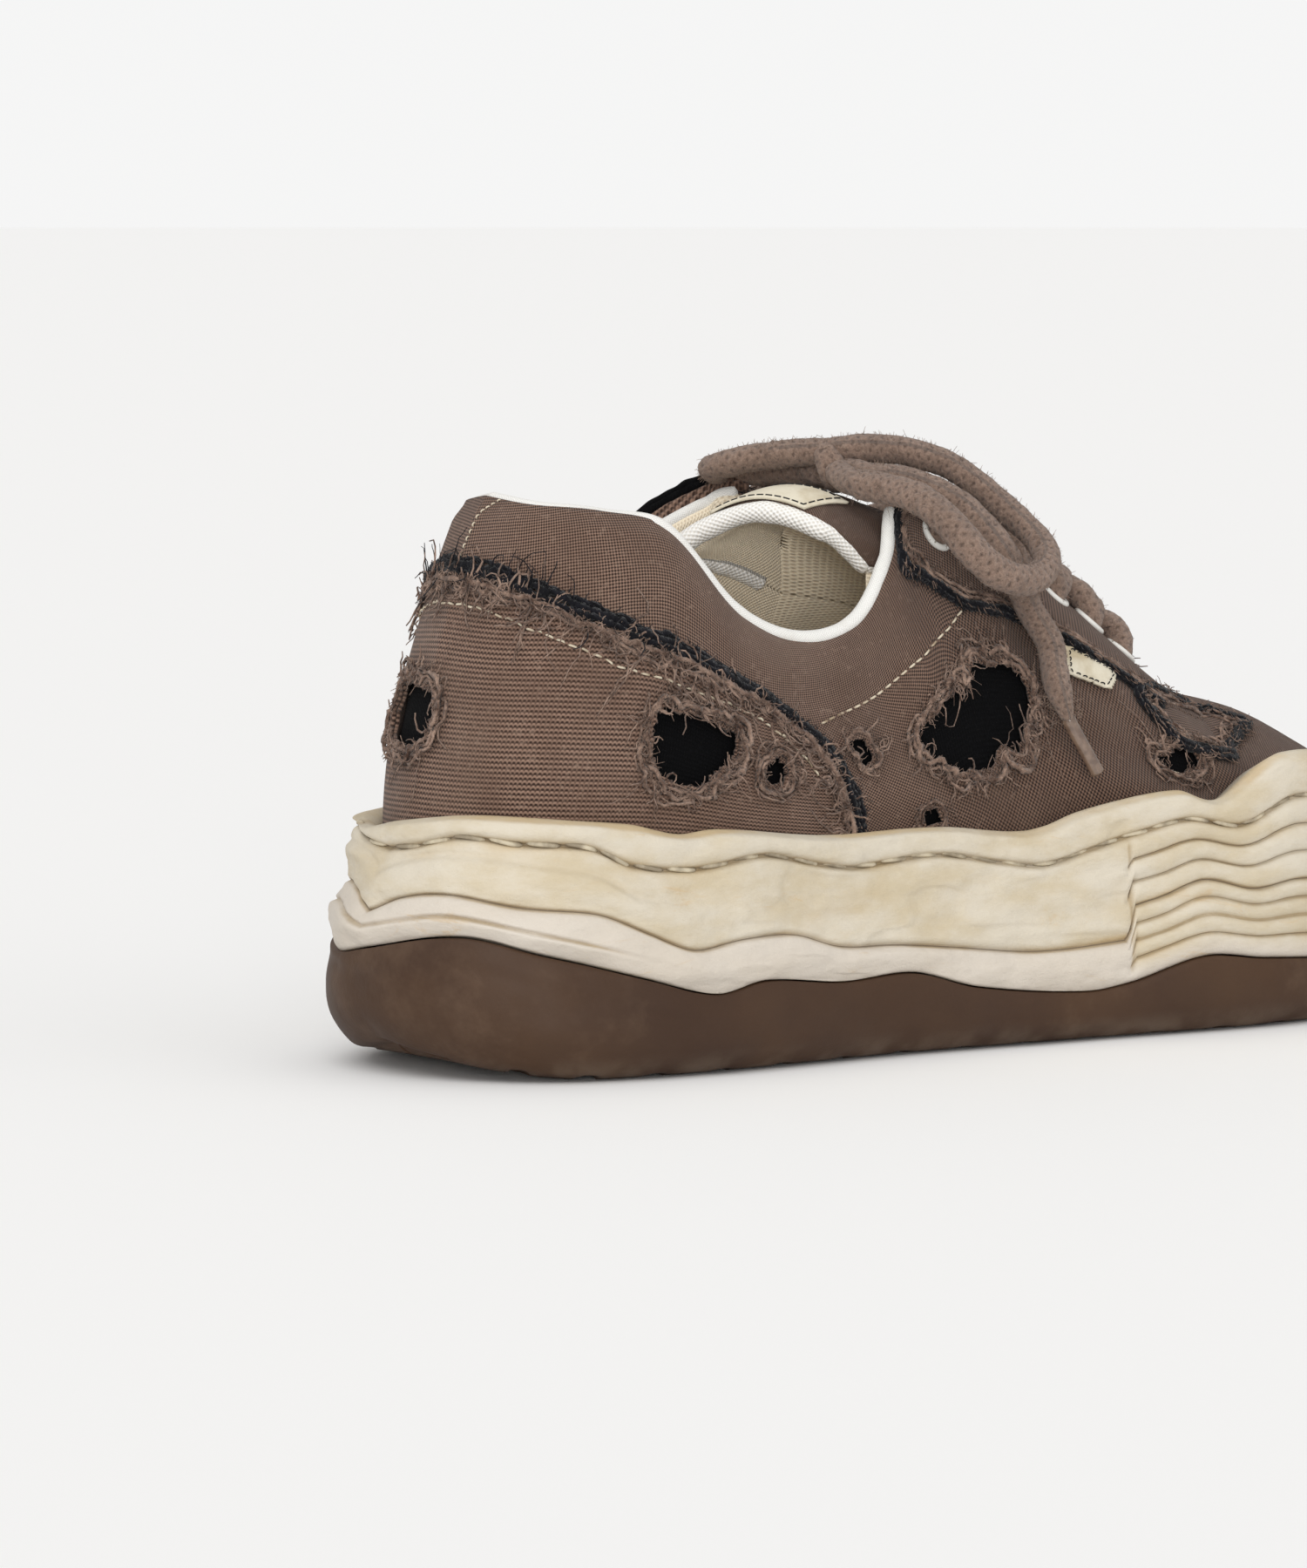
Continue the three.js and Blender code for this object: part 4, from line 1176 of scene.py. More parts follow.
mesh_finish = spacer_mesh("white_mesh", srgb(222, 216, 206), srgb(247, 245, 241))
# The inside's copy of the white mesh is tinted warm and a little lighter: painted light for the shaded
# interior.
interior_mesh_painted_light = spacer_mesh("white_mesh_painted_interior_light", srgb(226, 206, 176), srgb(252, 238, 212))
cloth, points = lining_points()
faces = grid_faces(*cloth.shape[:2], ring=True)
piece("lining", points, faces, interior_mesh_painted_light, uv=cloth)


def cotton():
    made = Finish("white_cotton", srgb(236, 235, 231), 0.8, Sheen_Weight=0.2)
    u, v = made.uv("cloth")
    weave = (u * (2 * math.pi / 0.7)).math("SINE") * (v * (2 * math.pi / 0.7)).math("SINE")
    weave = weave * 0.5 + 0.5
    soil = made.noise(12, 5, roughness=0.65).fade(0.5, 0.75) * 0.35
    clean = made.mix(weave, srgb(222, 220, 214), srgb(244, 243, 240))
    made.set("Base Color", made.mix(soil, clean, srgb(198, 188, 172)))
    made.bump(weave, 0.12)
    return made


def smooth_tube(line, radius, sides=12, ripple=0.0):
    """A tube along a line, with its UV round and along it in mm."""
    thick = radius * (1 + ripple * rough(line, 3, 12))
    thick[[0, -1]] *= 0.4
    points, faces = tubes(line[None], thick[None], sides)
    turn = np.arange(sides) * 2 * np.pi * radius / sides
    uv = np.stack(np.broadcast_arrays(distances(line)[:, None], turn[None, :]), -1).reshape(-1, 2)
    return points, faces, uv


cotton_finish = cotton()
edge_side = np.linspace(-0.497, 0.497, 460)
hidden = smooth(0.19, 0.15, np.abs(edge_side))  # round the heel the piping sits behind the edge
collar_line = skin(edge_side, 1.004 - 0.006 * hidden, -1.15 - 1.3 * hidden)
points, faces, uv = smooth_tube(collar_line, 1.75, 14, 0.05)
piece("collar_piping", points, faces, cotton_finish, uv=uv)

# The inner eyestay's raw edge stands up behind the far piping: a strip of canvas, then black cloth.
stand = skin(np.linspace(0.30, 0.505, 130), 1.0, 0.6)
STAY_EDGE = [
    ("inner_stay_strip", counter_finish, "canvas", 0.1, [((0, 0, 1.2), 1.4), ((0.3, 0.7, 2.4), 1.3)]),
    ("inner_stay_black", black_finish, None, 0.35, [((0.6, 1.6, 4.0), 1.3), ((0.6, 2.4, 5.0), 1.1)]),
]
for name, finish, slot, ripple, rolls in STAY_EDGE:
    points, faces = merged(*[smooth_tube(stand + moved, radius, 10, ripple)[:2] for moved, radius in rolls])
    piece(name, points, faces, finish, uv=points[:, :2])

# ---------------------------------------------------------------- the insole
# A thin foam sheet covered in pale cloth, a little hollow under the heel.
def insole_cloth():
    made = Finish("insole_cloth", srgb(196, 188, 174), 0.9)
    soil = made.noise(30, 4).fade(0.4, 0.7)
    made.set("Base Color", made.mix(soil, srgb(203, 196, 184), srgb(172, 160, 142)))
    made.bump(made.noise(0.9, 2), 0.25)
    return made


INSOLE_EDGE = [(-5.6, 0.2), (-4.6, 1.5), (-4.6, 3.4), (-6.5, 4.4)]  # out from and up from the feather
insole_side = np.linspace(-1, 1, 240, endpoint=False)
insole_edge = np.array([
    beside(insole_side, np.full(240, beyond), feather(insole_side)[:, 2] + above)
    for beyond, above in INSOLE_EDGE
])


def hollowed(strip):
    strip = strip.copy()
    t = np.linspace(0, 1, len(strip))[:, None]
    strip[..., 2] += 0.8 - 1.6 * np.sin(np.pi * t)
    return strip


points, faces = merged(
    (insole_edge, grid_faces(*insole_edge.shape[:2], ring=True)),
    strip_piece(across(insole_edge[0], 12)),
    strip_piece(across(insole_edge[-1], 24, hollowed)),
)
insole = piece("insole_sheet", points, faces, insole_cloth())
outward_faces(insole)
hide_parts("insole")

# ---------------------------------------------------------------- the eyestays and toe patches
# Raw-edged canvas doubles the lace holes and patches the toe, each over a strip of black cloth
# whose torn edge stands out all round.
EYELET_SIDES = (0.527, 0.565, 0.6, 0.635, 0.67, 0.704)
EYELET_RISE = 0.89
EYESTAY_TOP = [(0.735, 0.62), (0.735, 0.985), (0.65, 0.985), (0.58, 0.985), (0.506, 0.985)]
SIDES = ((-1, "outer"), (1, "inner"))


def mirrored(rows, sign):
    return np.asarray(rows, float) * (sign, 1)


eyestay_lines, patch_outlines = {}, {}
for sign, name in SIDES:
    lower = flowing(on_cloth(mirrored(EYESTAY_EDGE, sign)), 0.7)
    lower = lower + 0.35 * np.stack([rough(flat(lower), 2, seed) for seed in (5, 8)], 1)
    upper = on_cloth(mirrored(EYESTAY_TOP, sign))
    eyestay_lines[name] = lower
    eyestay_outline = np.concatenate([lower, flowing(upper, 0.9)])
    patch_outlines[name] = ragged(on_cloth(mirrored(TOE_PATCH, sign)), 0.7, 33 + sign)
    cloth_sheet(
        f"eyestay_{name}", (76, 44), (0.45, 1.0), 0.9, base_finish, keep=eyestay_outline,
        turn=turned_by(0.35), thick=0.7,
    )
    cloth_sheet(
        f"toe_patch_{name}", (50, 34), (0.4, 0.8), 0.8, base_finish, keep=patch_outlines[name],
        turn=turned_by(-0.5), thick=0.7,
    )

# ---------------------------------------------------------------- frayed edges
# Where the canvas is torn its yarns roll up along the edge, short ends stand out all round it,
# and a few long ones hang loose.
luck = np.random.default_rng(11)


def line_frame(line, loop=False):
    """Steps along a line on the cloth, with the direction along it and to its right."""
    if loop:
        run = np.roll(line, -1, axis=0) - np.roll(line, 1, axis=0)
    else:
        run = np.gradient(line, axis=0)
    run = unit(run)
    return run, np.stack([run[:, 1], -run[:, 0]], 1)


def yarn(line, aside, lift, radius, wander, seed, loop=False, sides=4):
    """A twisted yarn that runs along a line on the cloth with a nervous wobble."""
    if loop:
        line = np.concatenate([line, line[:2]])
    _, right = line_frame(line)
    at = flat(line) + (0, 0, 3.0 * seed)
    sway = aside + wander * rough(at, 4.5, seed) + 0.5 * wander * rough(at, 1.6, seed + 5)
    rise = lift + 0.5 * wander * rough(at, 3.1, seed + 9)
    cloth = line + right * sway[:, None]
    path = over(cloth, np.maximum(rise, 0.25) + folds(cloth))
    thick = radius * (1 + 0.35 * rough(at, 1.8, seed + 13))
    thick[[0, -1]] *= 0.3
    return tubes(path[None], thick[None], sides, 0.6)


def ends(base, heading, length, curl, low, high, radius, steps=3):
    """Loose yarn ends that start at places on the cloth and wander off over it."""
    count = len(base)
    t = np.linspace(0, 1, steps)
    shake = luck.normal(0, 0.28, (count, steps))
    angle = heading[:, None] + curl[:, None] * t + shake
    step = (length / (steps - 1))[:, None]
    move = np.stack([np.cos(angle), np.sin(angle)], -1) * step[..., None]
    cloth = base[:, None] + np.cumsum(move, axis=1) - move[:, :1]
    lift = low[:, None] + (high - low)[:, None] * t**1.2 + luck.normal(0, 0.12, (count, steps))
    path = over(cloth, np.maximum(lift, 0.2) + folds(cloth))
    taper = np.linspace(1, 0.45, steps)
    return tubes(path, radius[:, None] * taper)


def scatter(
    line, count, span, reach, spread, tall, radius, lift, facing=1.0, curl=1.0, loop=False, steps=3
):
    """Loose ends sown along a line.

    span is how far to the line's right they start, reach how long they are, spread how widely they
    turn from the way they face, curl how much they bend, and tall how far they stand up.
    """
    run, right = line_frame(line, loop)
    at = luck.integers(0, len(line), count)
    aside = luck.uniform(min(span), max(span), count)
    base = line[at] + right[at] * aside[:, None]
    heading = np.arctan2(right[at, 1], right[at, 0])
    heading = heading + (0 if facing > 0 else np.pi) + luck.normal(0, spread, count)
    length = luck.uniform(reach[0], reach[1], count)
    low = np.full(count, lift)
    high = lift + luck.uniform(tall[0], tall[1], count)
    thick = luck.uniform(radius[0], radius[1], count)
    return ends(base, heading, length, luck.normal(0, curl, count), low, high, thick, steps)


def fray_finish(name, dark, pale):
    made = Finish(name, pale, 0.95, Sheen_Weight=0.15, Specular_IOR_Level=0.1)
    tone = made.noise(3.5, 4, roughness=0.7)
    fine = made.noise(0.5, 2)
    share = tone.fade(0.3, 0.72) * 0.8 + fine.fade(0.4, 0.7) * 0.2
    made.set("Base Color", made.mix(share, dark, pale))
    made.bump(fine, 0.2)
    return made


brown_fray = fray_finish("brown_yarn", srgb(66, 48, 40), srgb(168, 142, 126))
black_fray = fray_finish("black_yarn", srgb(7, 7, 9), srgb(30, 30, 36))

# How thickly each hole's rim is frayed, against the middle one.
HOLE_RIMS = {
    "heel": 1.0, "big": 1.15, "small": 0.8, "slit": 0.7, "large": 1.3, "tiny": 0.4, "toe": 0.8,
    "arch": 1.0, "flex": 1.2, "nick": 0.6, "side": 0.8,
}
RIM_YARNS = [(0.5, 0.2, 0.5, 0.7), (1.5, 0.5, 0.6, 1.3), (2.8, 0.2, 0.4, 1.8)]  # aside, up, radius, wander


def rim_ends(size):
    """The sorts of loose end round a hole: how many to a step of its outline, and how they grow."""
    return [
        (3.6, dict(
            span=(-0.4, 3.0), reach=(1.0, 3.4 * size), spread=1.5, curl=2.2, tall=(0.2, 1.4),
            radius=(0.10, 0.19),
        )),
        (0.7, dict(
            span=(0.0, 1.4), reach=(0.8, 2.4), spread=0.9, tall=(-0.5, 0.6), radius=(0.09, 0.16),
            facing=-1,
        )),
        (0.8 * size, dict(
            span=(0.0, 3.0), reach=(3.5, 8.0), spread=1.7, tall=(0.4, 1.8), radius=(0.26, 0.42),
            curl=3.2, steps=7,
        )),
        (0.10 * size, dict(
            span=(0.0, 1.5), reach=(8.0, 15.0), spread=0.9, tall=(0.4, 2.2), radius=(0.14, 0.24),
            curl=1.4, steps=8,
        )),
    ]


def torn_rim(loop, size, lift, seed):
    """Yarns rolled up round a hole, and their loose ends."""
    area = np.sum(loop[:, 0] * np.roll(loop[:, 1], -1) - np.roll(loop[:, 0], -1) * loop[:, 1])
    if area < 0:
        loop = loop[::-1]  # its right side now looks out of the hole
    loop = loop + line_frame(loop, True)[1] * 0.5
    rolled = RIM_YARNS[: 2 + (size > 0.75)]
    parts = [
        yarn(loop, aside, lift + up, radius * (0.6 + 0.4 * size), wander * (0.5 + size), seed + k, loop=True)
        for k, (aside, up, radius, wander) in enumerate(rolled)
    ]
    for share, how in rim_ends(size):
        count = max(int(len(loop) * 0.6 * share), 3)
        parts.append(scatter(loop, count, lift=lift, loop=True, **how))
    return merged(*parts)


for index, (name, loop) in enumerate(holes.items()):
    points, faces = torn_rim(loop, HOLE_RIMS[name], 1.5 if name in ON_COUNTER else 0.6, 20 + 7 * index)
    piece(f"torn_rim_{name}", points, faces, brown_fray)

# The counter's raw top edge, with the black cloth under it standing proud.
edge = counter_top[::-1]  # runs from the inner front over the heel to the outer front: right is up
_, edge_right = line_frame(edge)
upward = 1.0 if edge_right[len(edge) // 2, 1] > 0 else -1.0
heel_part = edge[np.abs(edge[:, 0]) < 0.2 * ALONG]
COUNTER_BLACK_YARNS = [(1.2, 1.5, 1.0, 0.4), (2.6, 1.2, 1.1, 0.5), (3.9, 0.7, 0.8, 0.6)]
COUNTER_BROWN_YARNS = [(-0.6, 1.9, 0.75, 0.9), (-2.2, 1.6, 0.55, 1.6)]


def edge_yarns(rows, seed):
    return [
        yarn(edge, upward * aside, lift, radius, wander, seed + k)
        for k, (aside, lift, radius, wander) in enumerate(rows)
    ]


points, faces = merged(
    *edge_yarns(COUNTER_BLACK_YARNS, 200),
    scatter(
        edge, 1500, span=(upward * 0.8, upward * 4.2), reach=(0.8, 2.6), spread=1.4, tall=(0.1, 1.0),
        radius=(0.10, 0.22), facing=upward, curl=2.2, lift=1.0,
    ),
    scatter(
        heel_part, 40, span=(0, upward * 3), reach=(5, 12), spread=1.3, tall=(0.5, 4),
        radius=(0.14, 0.26), facing=upward, curl=2.4, lift=1.4, steps=7,
    ),
)
piece("black_fringe_counter", points, faces, black_fray)

points, faces = merged(
    *edge_yarns(COUNTER_BROWN_YARNS, 230),
    scatter(
        edge, 1500, span=(-upward * 3.0, upward * 0.4), reach=(1.0, 3.4), spread=1.6, tall=(0.2, 1.2),
        radius=(0.10, 0.22), facing=upward, curl=2.4, lift=1.6,
    ),
    scatter(  # curls that lie along the edge
        edge, 330, span=(-upward * 3.6, upward * 0.8), reach=(5, 11), spread=1.5, tall=(0.4, 2.0),
        radius=(0.26, 0.46), facing=-upward, curl=4.4, lift=1.7, steps=8,
    ),
    scatter(  # strands that hang down from it
        edge, 120, span=(-upward * 2.5, upward * 0.6), reach=(9, 19), spread=0.7, tall=(0.4, 2.2),
        radius=(0.2, 0.4), facing=-upward, curl=1.8, lift=1.7, steps=9,
    ),
)
piece("frayed_edge_counter", points, faces, brown_fray)

THROAT_RIM = [(0.503, 0.99), (0.56, 0.985), (0.62, 0.985), (0.68, 0.985), (0.735, 0.985)]


def stay_black(line, patch, rim, away):
    """Black cloth under the eyestay's edge, round the toe patch and along the throat."""
    thin = dict(reach=(0.8, 2.2), tall=(0.1, 1.0), radius=(0.10, 0.18))
    return merged(
        yarn(line, away * 0.3, 1.2, 0.95, 0.35, 260),
        yarn(line, away * 1.4, 0.7, 0.8, 0.35, 261),
        scatter(line, 420, span=(0, away * 2.0), spread=0.9, facing=away, lift=0.9, **thin),
        yarn(patch, 0.6, 1.3, 0.9, 0.5, 270, loop=True),
        yarn(patch, 1.7, 0.9, 0.9, 0.5, 271, loop=True),
        yarn(patch, -0.4, 1.2, 0.6, 0.5, 272, loop=True),
        scatter(patch, 260, span=(-0.5, 1.5), spread=1.2, lift=0.8, loop=True, **thin),
        yarn(rim, 0.0, 0.4, 0.9, 0.3, 280),
        yarn(rim, 0.0, -0.8, 0.9, 0.3, 281),
        scatter(
            rim, 500, span=(-2.5, 2.5), reach=(1.0, 3.5), spread=2.0, tall=(0.3, 2.4),
            radius=(0.10, 0.2), lift=0.8,
        ),
    )


def stay_brown(line, patch, rim, away):
    """Brown yarns and ends over the same edges."""
    return merged(
        yarn(line, -away * 1.0, 1.5, 0.5, 0.8, 290),
        yarn(line, -away * 2.2, 1.4, 0.5, 0.8, 291),
        scatter(
            line, 360, span=(-away * 3.5, 0), reach=(1.2, 4.0), spread=1.4, tall=(0.2, 1.4),
            radius=(0.10, 0.2), facing=away, lift=1.3,
        ),
        yarn(patch, -1.8, 1.2, 0.45, 1.4, 300, loop=True),
        yarn(patch, -3.0, 1.2, 0.45, 1.4, 301, loop=True),
        scatter(
            patch, 340, span=(-2.0, 2.6), reach=(1.5, 5.0), spread=1.6, tall=(0.2, 1.8),
            radius=(0.12, 0.26), curl=2.4, lift=1.0, loop=True, steps=5,
        ),
        yarn(rim, 0.6, 1.6, 0.7, 1.2, 310),
        yarn(rim, -0.8, 2.2, 0.6, 1.4, 311),
        scatter(
            rim, 420, span=(-3.0, 3.0), reach=(2.0, 6.0), spread=2.4, tall=(0.6, 3.6),
            radius=(0.12, 0.3), curl=2.6, lift=1.4, steps=5,
        ),
    )


for sign, name in SIDES:
    line, patch = eyestay_lines[name], patch_outlines[name]
    rim = flowing(on_cloth(mirrored(THROAT_RIM, sign)), 0.8)
    away = -1.0 if line_frame(line)[1][:, 1].mean() > 0 else 1.0
    points, faces = stay_black(line, patch, rim, away)
    piece(f"black_fringe_{name}", points, faces, black_fray)
    points, faces = stay_brown(line, patch, rim[len(rim) // 3 :], away)
    piece(f"frayed_edge_{name}", points, faces, brown_fray)

# ---------------------------------------------------------------- stitching on the cloth
# Cream thread in short running stitches: under the counter's edge, along the collar's front seam
# and down the back seam.
BACK_SEAM = [(-0.022, 1.0), (-0.006, 0.95), (-0.001, 0.88), (0.004, 0.80)]


def running(line, pitch, gap, radius, lift):
    """Running stitches along a line on the cloth."""
    length = distances(line)
    starts = np.arange(0.5, length[-1] - pitch, pitch)
    t = np.linspace(0, 1, 7)
    at = starts[:, None] + t * (pitch - gap) + luck.normal(0, 0.12, (len(starts), 1))
    cloth = places_at(line, length, at)
    rise = lift + 0.25 * np.sin(np.pi * t)[None] - 0.3 * (np.abs(t - 0.5) > 0.45)[None]
    path = over(cloth, rise + folds(cloth))
    radii = np.full(path.shape[:2], radius)
    radii[:, [0, -1]] *= 0.6
    return tubes(path, radii, 5)


cream_thread = Finish("cream_thread", srgb(205, 192, 168), 0.75)
thread_tone = cream_thread.noise(4, 3).fade(0.4, 0.7)
cream_thread.set("Base Color", cream_thread.mix(thread_tone, srgb(212, 200, 178), srgb(160, 142, 118)))
_, right = line_frame(counter_top)
downward = -1.0 if right[len(right) // 2, 1] > 0 else 1.0
under_edge = (counter_top + right * downward * 6.2)[40:-40]
stitch_parts = [running(under_edge, 3.4, 1.1, 0.27, 1.15)]
for sign, _ in SIDES:
    seam = flowing(on_cloth(mirrored(COLLAR_SEAM, sign)), 0.8)
    stitch_parts.append(running(seam, 3.3, 1.1, 0.27, 0.15))
stitch_parts.append(running(flowing(on_cloth(BACK_SEAM), 0.6), 1.9, 0.7, 0.2, 0.15))
points, faces = merged(*stitch_parts)
piece("cloth_stitching", points, faces, cream_thread)

# ---------------------------------------------------------------- the side tab
# A small blank tab of cream cotton tape, folded and sewn under the eyestay.
TAB = [(0.604, 0.632), (0.640, 0.605), (0.642, 0.585), (0.629, 0.535), (0.597, 0.555)]


def tape_finish(name):
    made = Finish(name, srgb(217, 208, 186), 0.85)
    grime = made.noise(9, 4).fade(0.45, 0.7)
    made.set("Base Color", made.mix(grime, srgb(220, 212, 192), srgb(190, 176, 148)))
    made.bump(made.noise(0.6, 2), 0.15)
    return made


tape = tape_finish("cream_tape")
tab_corners = on_cloth(mirrored(TAB, -1))
tab_edges = zip(tab_corners, np.roll(tab_corners, -1, axis=0))
tab_outline = np.concatenate([np.linspace(a, b, 12, endpoint=False) for a, b in tab_edges])
cloth_sheet("side_tab", (26, 18), (0.5, 0.66), 1.7, tape, keep=tab_outline, thick=0.9)
tab_line = lerp(tab_outline, tab_outline.mean(0), 0.16)
points, faces = running(np.concatenate([tab_line, tab_line[:1]]), 1.7, 0.6, 0.16, 1.85)
piece("side_tab_stitching", points, faces, black_fray)

# ---------------------------------------------------------------- the tongue
# Padded canvas that runs up under the eyestays and opens into a hood, faced with white mesh,
# bound with cotton along its rim, with a blank cream label sewn on top.
TONGUE_THICK = 6
HOOD = [
    (-1.0, -25, -13.5, 107), (-0.6, -34, -10, 116.5), (0.0, -43.5, 2.5, 121.5), (0.6, -51.5, 15, 117),
    (1.0, -57.5, 21.5, 110),
]
LOW_TUCK, HIGH_TUCK = 0.72, 0.92


def under_throat(part, aside):
    """A point on the tongue's outer face under the throat; aside runs from -1, outer, to 1, inner."""
    part, aside = np.broadcast_arrays(np.asarray(part, float), np.asarray(aside, float))

    def under_wall(sign, rise):
        side = sign * part
        at = on_last(side, rise)
        return at - off_last(side, rise) * (wall_depth(at) + 0.9)[..., None]

    sign = np.where(aside < 0, -1.0, 1.0)
    flank = under_wall(sign, lerp(HIGH_TUCK, LOW_TUCK, np.clip(2 * np.abs(aside) - 1, 0, 1)))
    high, lower = np.full(part.shape, HIGH_TUCK), np.full(part.shape, HIGH_TUCK - 0.05)
    start, end = under_wall(-1.0, high), under_wall(1.0, high)
    reach = np.linalg.norm(end - start, axis=-1, keepdims=True) * 0.36
    lead_start = unit(start - under_wall(-1.0, lower)) * reach
    lead_end = unit(end - under_wall(1.0, lower)) * reach
    t = np.clip(aside + 0.5, 0, 1)[..., None]
    bridge = (1 - t) ** 3 * start + 3 * (1 - t) ** 2 * t * (start + lead_start)
    bridge = bridge + 3 * (1 - t) * t * t * (end + lead_end) + t**3 * end
    return np.where(np.abs(aside)[..., None] > 0.5, flank, bridge)


def tongue_face(length, aside):
    length, aside = np.broadcast_arrays(np.asarray(length, float), np.asarray(aside, float))
    low = under_throat(lerp(0.8, 0.515, np.minimum(length, 1)), aside)
    up_hood = np.clip(length - 1, 0, 1)[..., None]
    bulge = np.concatenate([0 * up_hood, 0 * up_hood, 2.5 * np.sin(up_hood * np.pi)], -1)
    return lerp(low, along(HOOD, aside), up_hood) + bulge


def on_tongue(length, aside, lift=0.0):
    """A point on the tongue: length 0 to 1 runs under the throat, and 1 to 2 up the hood."""
    length, aside = np.broadcast_arrays(np.asarray(length, float), np.asarray(aside, float))
    step = 0.02
    before, after = tongue_face(length - step, aside), tongue_face(length + step, aside)
    at_rim = tongue_face(length, aside) - tongue_face(length - 2 * step, aside)
    run = np.where(length[..., None] > 1.97, at_rim, after - before)
    inner, outer = np.minimum(aside + step, 1), np.maximum(aside - step, -1)
    width = tongue_face(length, inner) - tongue_face(length, outer)
    off = unit(np.cross(width, run))
    return tongue_face(length, aside) + off * np.asarray(lift, float)[..., None]


tongue_length, tongue_aside = np.meshgrid(
    np.linspace(0.02, 2.0, 84), np.linspace(-1, 1, 64), indexing="ij"
)
tongue_uv = np.stack([tongue_length * 52, tongue_aside * 38], -1)
puff = 0.5 * rough(flat(tongue_uv), 9, 91)
puff = puff * smooth(1, 0.85, np.abs(tongue_aside)) - 1.2 * smooth(1.9, 2.0, tongue_length)
pinch = 1.3 * smooth(0.8, 1, np.abs(tongue_aside)) + 1.2 * smooth(1.85, 2.0, tongue_length)
outer_face = on_tongue(tongue_length, tongue_aside, puff)
inner_face = on_tongue(tongue_length, tongue_aside, 1.2 - TONGUE_THICK + pinch)
points, faces = merged(strip_piece(outer_face), strip_piece(inner_face, flip=True))
corners = np.arange(tongue_length.size).reshape(tongue_length.shape)
border = np.concatenate([corners[0], corners[1:, -1], corners[-1, -2::-1], corners[-2:0:-1, 0]]).tolist()
under = tongue_length.size
faces += [[b, a, a + under, b + under] for a, b in zip(border, border[1:] + border[:1])]
tongue = piece(
    "tongue_canvas", points, faces, base_finish,
    uv=np.concatenate([tongue_uv.reshape(-1, 2)] * 2),
)
outward_faces(tongue)
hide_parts("tongue")
faced = slice(20, None)  # the mesh begins under the throat
facing = on_tongue(tongue_length, tongue_aside, 0.8 - TONGUE_THICK + pinch)[faced]
faces = grid_faces(*facing.shape[:2], flip=True)
tongue_mesh = piece("tongue_mesh", facing, faces, interior_mesh_painted_light, uv=tongue_uv[faced])
apply(tongue_mesh, "SOLIDIFY", thickness=0.0004, offset=0.0)

# Thin mesh gussets close the gap between the tongue's edges and the lining.
for sign, name in SIDES:
    down, wide = np.meshgrid(np.linspace(0.5, 1.96, 48), np.linspace(0, 1, 16), indexing="ij")
    from_edge = on_tongue(down, sign, -3.4)
    to_side = sign * lerp(0.53, 0.40, smooth(0.6, 1.96, down))
    to_lining = skin(to_side, 0.55, -6.8 if sign > 0 else -6.4)
    sag = np.sin(np.pi * wide)[..., None] * (0.0, 1.5 * sign, -1.0)
    gusset = piece(
        f"tongue_gusset_{name}", lerp(from_edge, to_lining, wide[..., None]) + sag,
        grid_faces(*down.shape), interior_mesh_painted_light, uv=np.stack([down * 52, 40 + wide * 30], -1),
    )
    apply(gusset, "SOLIDIFY", thickness=0.0008, offset=0.0)

hood_rim = np.concatenate([
    on_tongue(np.linspace(1.15, 1.97, 60), -1, -2.6),
    on_tongue(1.985, np.linspace(-1, 1, 150), -2.4),
    on_tongue(np.linspace(1.97, 1.15, 60), 1, -2.6),
])
points, faces, uv = smooth_tube(hood_rim, 2.5, 14, 0.08)
piece("tongue_binding", points, faces, mesh_finish, uv=uv)

label_length, label_aside = np.meshgrid(
    np.linspace(1.45, 1.93, 22), np.linspace(-0.36, 0.5, 34), indexing="ij"
)
label_face = on_tongue(label_length, label_aside, 0.75)
label = piece("tongue_label", label_face, grid_faces(*label_length.shape), tape)
apply(label, "SOLIDIFY", thickness=0.0007, offset=0.0)
LABEL_SEAM = [(1.49, -0.32, 20), (1.89, -0.32, 30), (1.89, 0.46, 20), (1.49, 0.46, 30)]
seam_ends = zip(LABEL_SEAM, LABEL_SEAM[1:] + LABEL_SEAM[:1])
seam = np.concatenate([np.linspace(a[:2], b[:2], a[2]) for a, b in seam_ends])
label_loop = on_tongue(seam[:, 0], seam[:, 1], 1.15)
length = distances(label_loop)
starts = np.arange(0, length[-1] - 2.2, 2.2)
at = starts[:, None] + np.linspace(0, 1.6, 5)
points, faces = tubes(places_at(label_loop, length, at), np.full(at.shape, 0.2), 5)
piece("tongue_label_stitching", points, faces, black_fray)

# ---------------------------------------------------------------- the eyelets
# White enamelled rings rolled over the edges of the lace holes.
enamel = Finish("eyelet_enamel", srgb(226, 224, 218), 0.32, Metallic=0.0, Coat_Weight=0.25)
chips = enamel.noise(2.2, 4, roughness=0.7)
enamel.set("Base Color", enamel.mix(chips.fade(0.6, 0.68), srgb(228, 226, 220), srgb(150, 142, 130)))
enamel.bump(chips, 0.05)
bpy.ops.object.select_all(action="DESELECT")
bpy.ops.mesh.primitive_torus_add(
    major_segments=36, minor_segments=12, major_radius=0.0036, minor_radius=0.0009
)
bpy.ops.object.mode_set(mode="EDIT")
bpy.ops.mesh.select_all(action="SELECT")
bpy.ops.transform.resize(value=(1, 1, 0.75))
bpy.ops.object.mode_set(mode="OBJECT")
bpy.ops.object.shade_smooth()
ring = bpy.context.object
ring.data.materials.append(enamel.material)
for sign, name in SIDES:
    for index, part in enumerate(EYELET_SIDES):
        at = skin(sign * part, EYELET_RISE, 1.1)
        facing = Vector(off_last(sign * part, EYELET_RISE))
        turn = facing.to_track_quat("Z", "Y").to_matrix().to_4x4()
        copy = bpy.data.objects.new(f"eyelet_ring_{name}_{index + 1}", ring.data.copy())
        copy.data.transform(Matrix.Translation(Vector(placed(at))) @ turn)
        scene.collection.objects.link(copy)
        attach(copy, "root")
        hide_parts(f"eyelet_{name}_{index + 1}")
bpy.data.objects.remove(ring)

